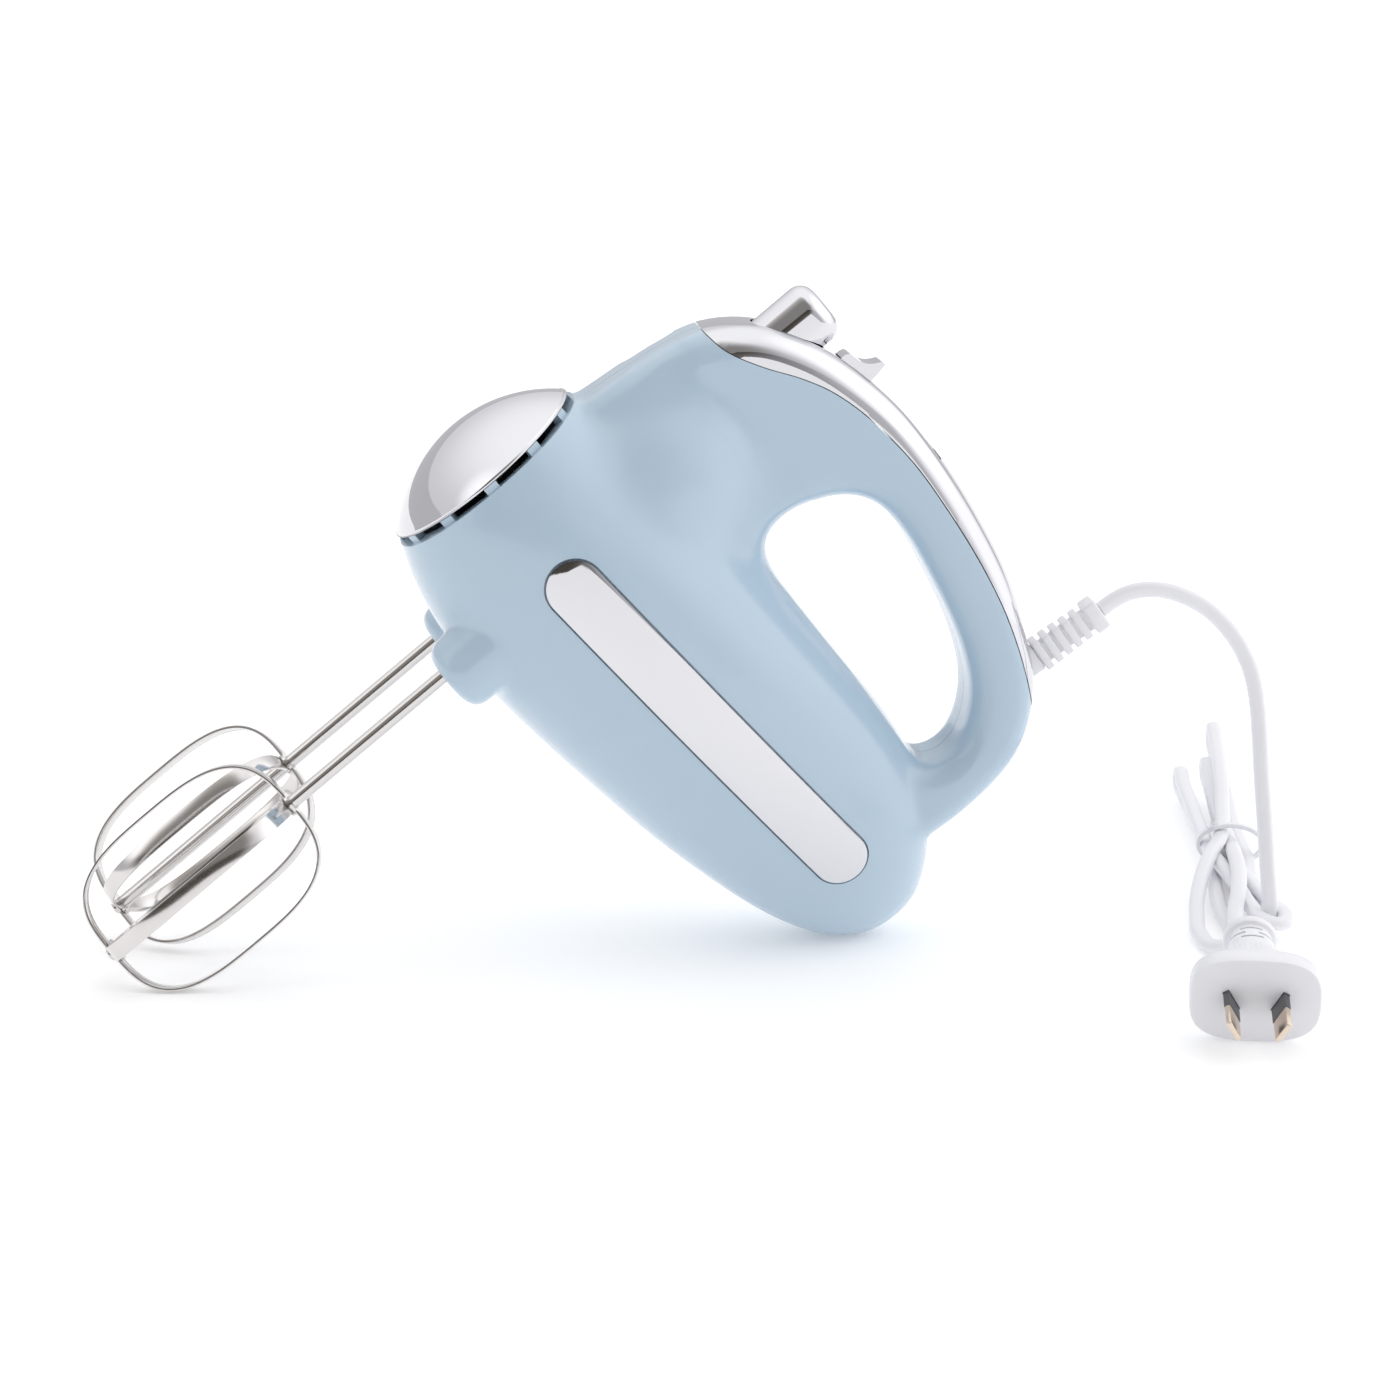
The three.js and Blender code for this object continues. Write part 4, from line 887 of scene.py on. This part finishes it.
# ---- beaters ----
# Each beater is a polished stainless rod with two closed loops of flat strip set across each other,
# slotted together and spot-welded at the eyes above and below.
BEATER_HALF = 25.3
LOOP_TOP = -60
LOOP_BOTTOM = -130
STRIP_WIDTH = 5
STRIP_THICK = 0.9
STRIP_EDGE = 0.18
ROD_R = 2.1
ROD_TOP = 43.4
STOP_R = 2.9
EYE_R = 3.6
LOOP_SQUARENESS = 3.1
BEATER_PHASES = {"left": math.radians(-12.5), "right": math.radians(-32.5)}
polished_steel = finish(
    "polished_steel", (0.72, 0.7, 0.69), (0.66, 0.64, 0.63), 0.1, 0.2, metallic=1, scale=500,
    stretch=0.2, bump=0.01,
)


def strip_loop(inset):
    """Closed loop of flat strip, square-shouldered, smaller by the inset."""
    bm = bmesh.new()
    made = bmesh.ops.create_circle(bm, segments=128, radius=1)["verts"]
    half = BEATER_HALF - inset
    tall = (LOOP_TOP - LOOP_BOTTOM) / 2 - inset
    power = 2 / LOOP_SQUARENESS
    for vert in made:
        across = math.copysign(abs(vert.co.x) ** power, vert.co.x) * half
        up = math.copysign(abs(vert.co.y) ** power, vert.co.y) * tall
        vert.co = Vector((across, -STRIP_WIDTH / 2, (LOOP_TOP + LOOP_BOTTOM) / 2 + up)) * MM
    pushed = bmesh.ops.extrude_edge_only(bm, edges=bm.edges)["geom"]
    moved = [vert for vert in pushed if isinstance(vert, bmesh.types.BMVert)]
    bmesh.ops.translate(bm, verts=moved, vec=(0, STRIP_WIDTH * MM, 0))
    bm.normal_update()
    bmesh.ops.recalc_face_normals(bm, faces=bm.faces)
    bmesh.ops.solidify(bm, geom=bm.faces, thickness=STRIP_THICK * MM)
    bm.normal_update()
    bmesh.ops.recalc_face_normals(bm, faces=bm.faces)
    rims = [edge for edge in bm.edges if edge.calc_face_angle(0) > 1]
    bmesh.ops.bevel(
        bm, geom=rims, offset=STRIP_EDGE * MM, affect="EDGES", segments=2, profile=0.5, material=-1
    )
    return mesh_from(bm)


for name, side in (("left", -1), ("right", 1)):
    phase = Matrix.Rotation(BEATER_PHASES[name], 4, "Z")
    beater_place = LEAN @ Matrix.Translation((0, side * SPINDLE_Y * MM, 0)) @ phase
    rod = upright(ROD_R, LOOP_BOTTOM - 1.2, ROD_TOP, 0, 0, 40, 0.7)
    rod = joined(rod, upright(STOP_R, LOOP_TOP - 2.6, LOOP_TOP - 1.2, 0, 0, 40, 0.3), "UNION")
    rod = finished(f"beater_stem_{name}", placed(rod, beater_place), polished_steel)
    belongs(rod, f"beater_{name}", "polished_steel", f"beater_rod_{name}")
    for loop, inset, turn in (("wide", 0, 0), ("cross", STRIP_THICK + GAP, math.pi / 2)):
        ring = strip_loop(inset)
        for z in (LOOP_BOTTOM + inset, LOOP_TOP - inset - STRIP_THICK):
            ring = joined(ring, upright(EYE_R, z, z + STRIP_THICK, 0, 0, 32), "UNION")
        rod_hole = upright(ROD_R + 0.1, LOOP_BOTTOM - 5, LOOP_TOP + 5, 0, 0, 40)
        ring = joined(ring, rod_hole, "DIFFERENCE")
        ring = placed(ring, beater_place @ Matrix.Rotation(turn, 4, "Z"))
        ring = finished(f"beater_strip_{loop}_{name}", ring, polished_steel)
        belongs(ring, f"beater_{name}", "polished_steel", f"beater_{loop}_loop_{name}")

# ---- works inside the housing ----
# Motor, gears, switch and fastenings keep their plain shapes, because the closed housing hides them;
# each has the finish of its real stuff: steel, copper, brass, nylon, carbon, black plastic and board.
WORKS = {
    "polished_steel": polished_steel,
    "core_steel": finish(
        "core_steel", (0.42, 0.43, 0.44), (0.34, 0.35, 0.36), 0.35, 0.5, metallic=1, scale=900
    ),
    "copper": finish(
        "copper_wire", (0.68, 0.3, 0.16), (0.55, 0.22, 0.11), 0.25, 0.4, metallic=1, scale=1200
    ),
    "brass": finish(
        "turned_brass", (0.72, 0.56, 0.28), (0.64, 0.48, 0.22), 0.2, 0.35, metallic=1, scale=800
    ),
    "carbon": finish("carbon_block", (0.03, 0.03, 0.03), (0.02, 0.02, 0.02), 0.6, 0.75, bump=0.1),
    "nylon": finish("natural_nylon", (0.78, 0.76, 0.68), (0.72, 0.7, 0.62), 0.4, 0.5, bump=0.03),
    "black_plastic": finish(
        "black_moulding", (0.025, 0.025, 0.027), (0.018, 0.018, 0.02), 0.4, 0.55, bump=0.06
    ),
    "board_green": finish(
        "board_laminate", (0.07, 0.2, 0.1), (0.05, 0.15, 0.08), 0.35, 0.45, bump=0.04
    ),
}
slots = {part["node"]: part["material_slot"] for part in frame["record"]["subparts"]}
for name, node in frame["nodes"].items():
    if slots[name] in WORKS:
        node.data.materials.clear()
        node.data.materials.append(WORKS[slots[name]])

# ---- floor and light ----
# A seamless pale table under a broad soft light: a pale surround with a brighter patch high on the
# left and another on the right, dark behind the viewer, and a wide soft source straight overhead.
FLOOR_REACH = 12
OVERHEAD_STRENGTH = 0.6
OVERHEAD_SPREAD = math.radians(150)
SURROUND = (0.6, 0.6, 0.62, 1)
bm = bmesh.new()
bmesh.ops.create_grid(bm, x_segments=1, y_segments=1, size=FLOOR_REACH)
pale_table = finish(
    "pale_table", (0.93, 0.93, 0.935), (0.92, 0.92, 0.925), 0.5, 0.6, scale=60,
    Emission_Color=(1, 1, 1, 1), Emission_Strength=0.22,
)
floor = solid_piece("floor", bm, pale_table)
overhead = bpy.data.lights.new("overhead", "SUN")
overhead.energy = OVERHEAD_STRENGTH
overhead.angle = OVERHEAD_SPREAD
link(bpy.data.objects.new("overhead", overhead))

world = bpy.data.worlds.new("studio_surround")
world.use_nodes = True
nodes, links = world.node_tree.nodes, world.node_tree.links
background = nodes["Background"]
direction = nodes.new("ShaderNodeTexCoord")
colour = None
ZONES = [
    ((0, 0.1, 1), 0.3, 0.97, (1.05, 1.05, 1.05)),
    ((-0.75, -0.35, 0.56), 0.88, 0.995, (1.35, 1.35, 1.35)),
    ((0.92, -0.1, 0.38), 0.6, 0.96, (1.4, 1.4, 1.43)),
    ((-0.4, -0.6, 0.7), 0.84, 0.97, (0.3, 0.28, 0.25)),
    ((-0.3, -0.9, 0.32), 0.7, 0.92, (0.08, 0.07, 0.06)),
]
for middle, outer, inner, shade in ZONES:
    across = nodes.new("ShaderNodeVectorMath")
    across.operation = "DOT_PRODUCT"
    across.inputs[1].default_value = Vector(middle).normalized()
    links.new(direction.outputs["Generated"], across.inputs[0])
    share = nodes.new("ShaderNodeMapRange")
    share.interpolation_type = "SMOOTHSTEP"
    share.inputs["From Min"].default_value = outer
    share.inputs["From Max"].default_value = inner
    links.new(across.outputs["Value"], share.inputs["Value"])
    mixed = nodes.new("ShaderNodeMix")
    mixed.data_type = "RGBA"
    mixed.inputs["A"].default_value = SURROUND
    mixed.inputs["B"].default_value = (*shade, 1)
    if colour is not None:
        links.new(colour, mixed.inputs["A"])
    links.new(share.outputs["Result"], mixed.inputs["Factor"])
    colour = mixed.outputs["Result"]
links.new(colour, background.inputs["Color"])
bpy.context.scene.world = world
bpy.context.scene.view_settings.view_transform = "Standard"
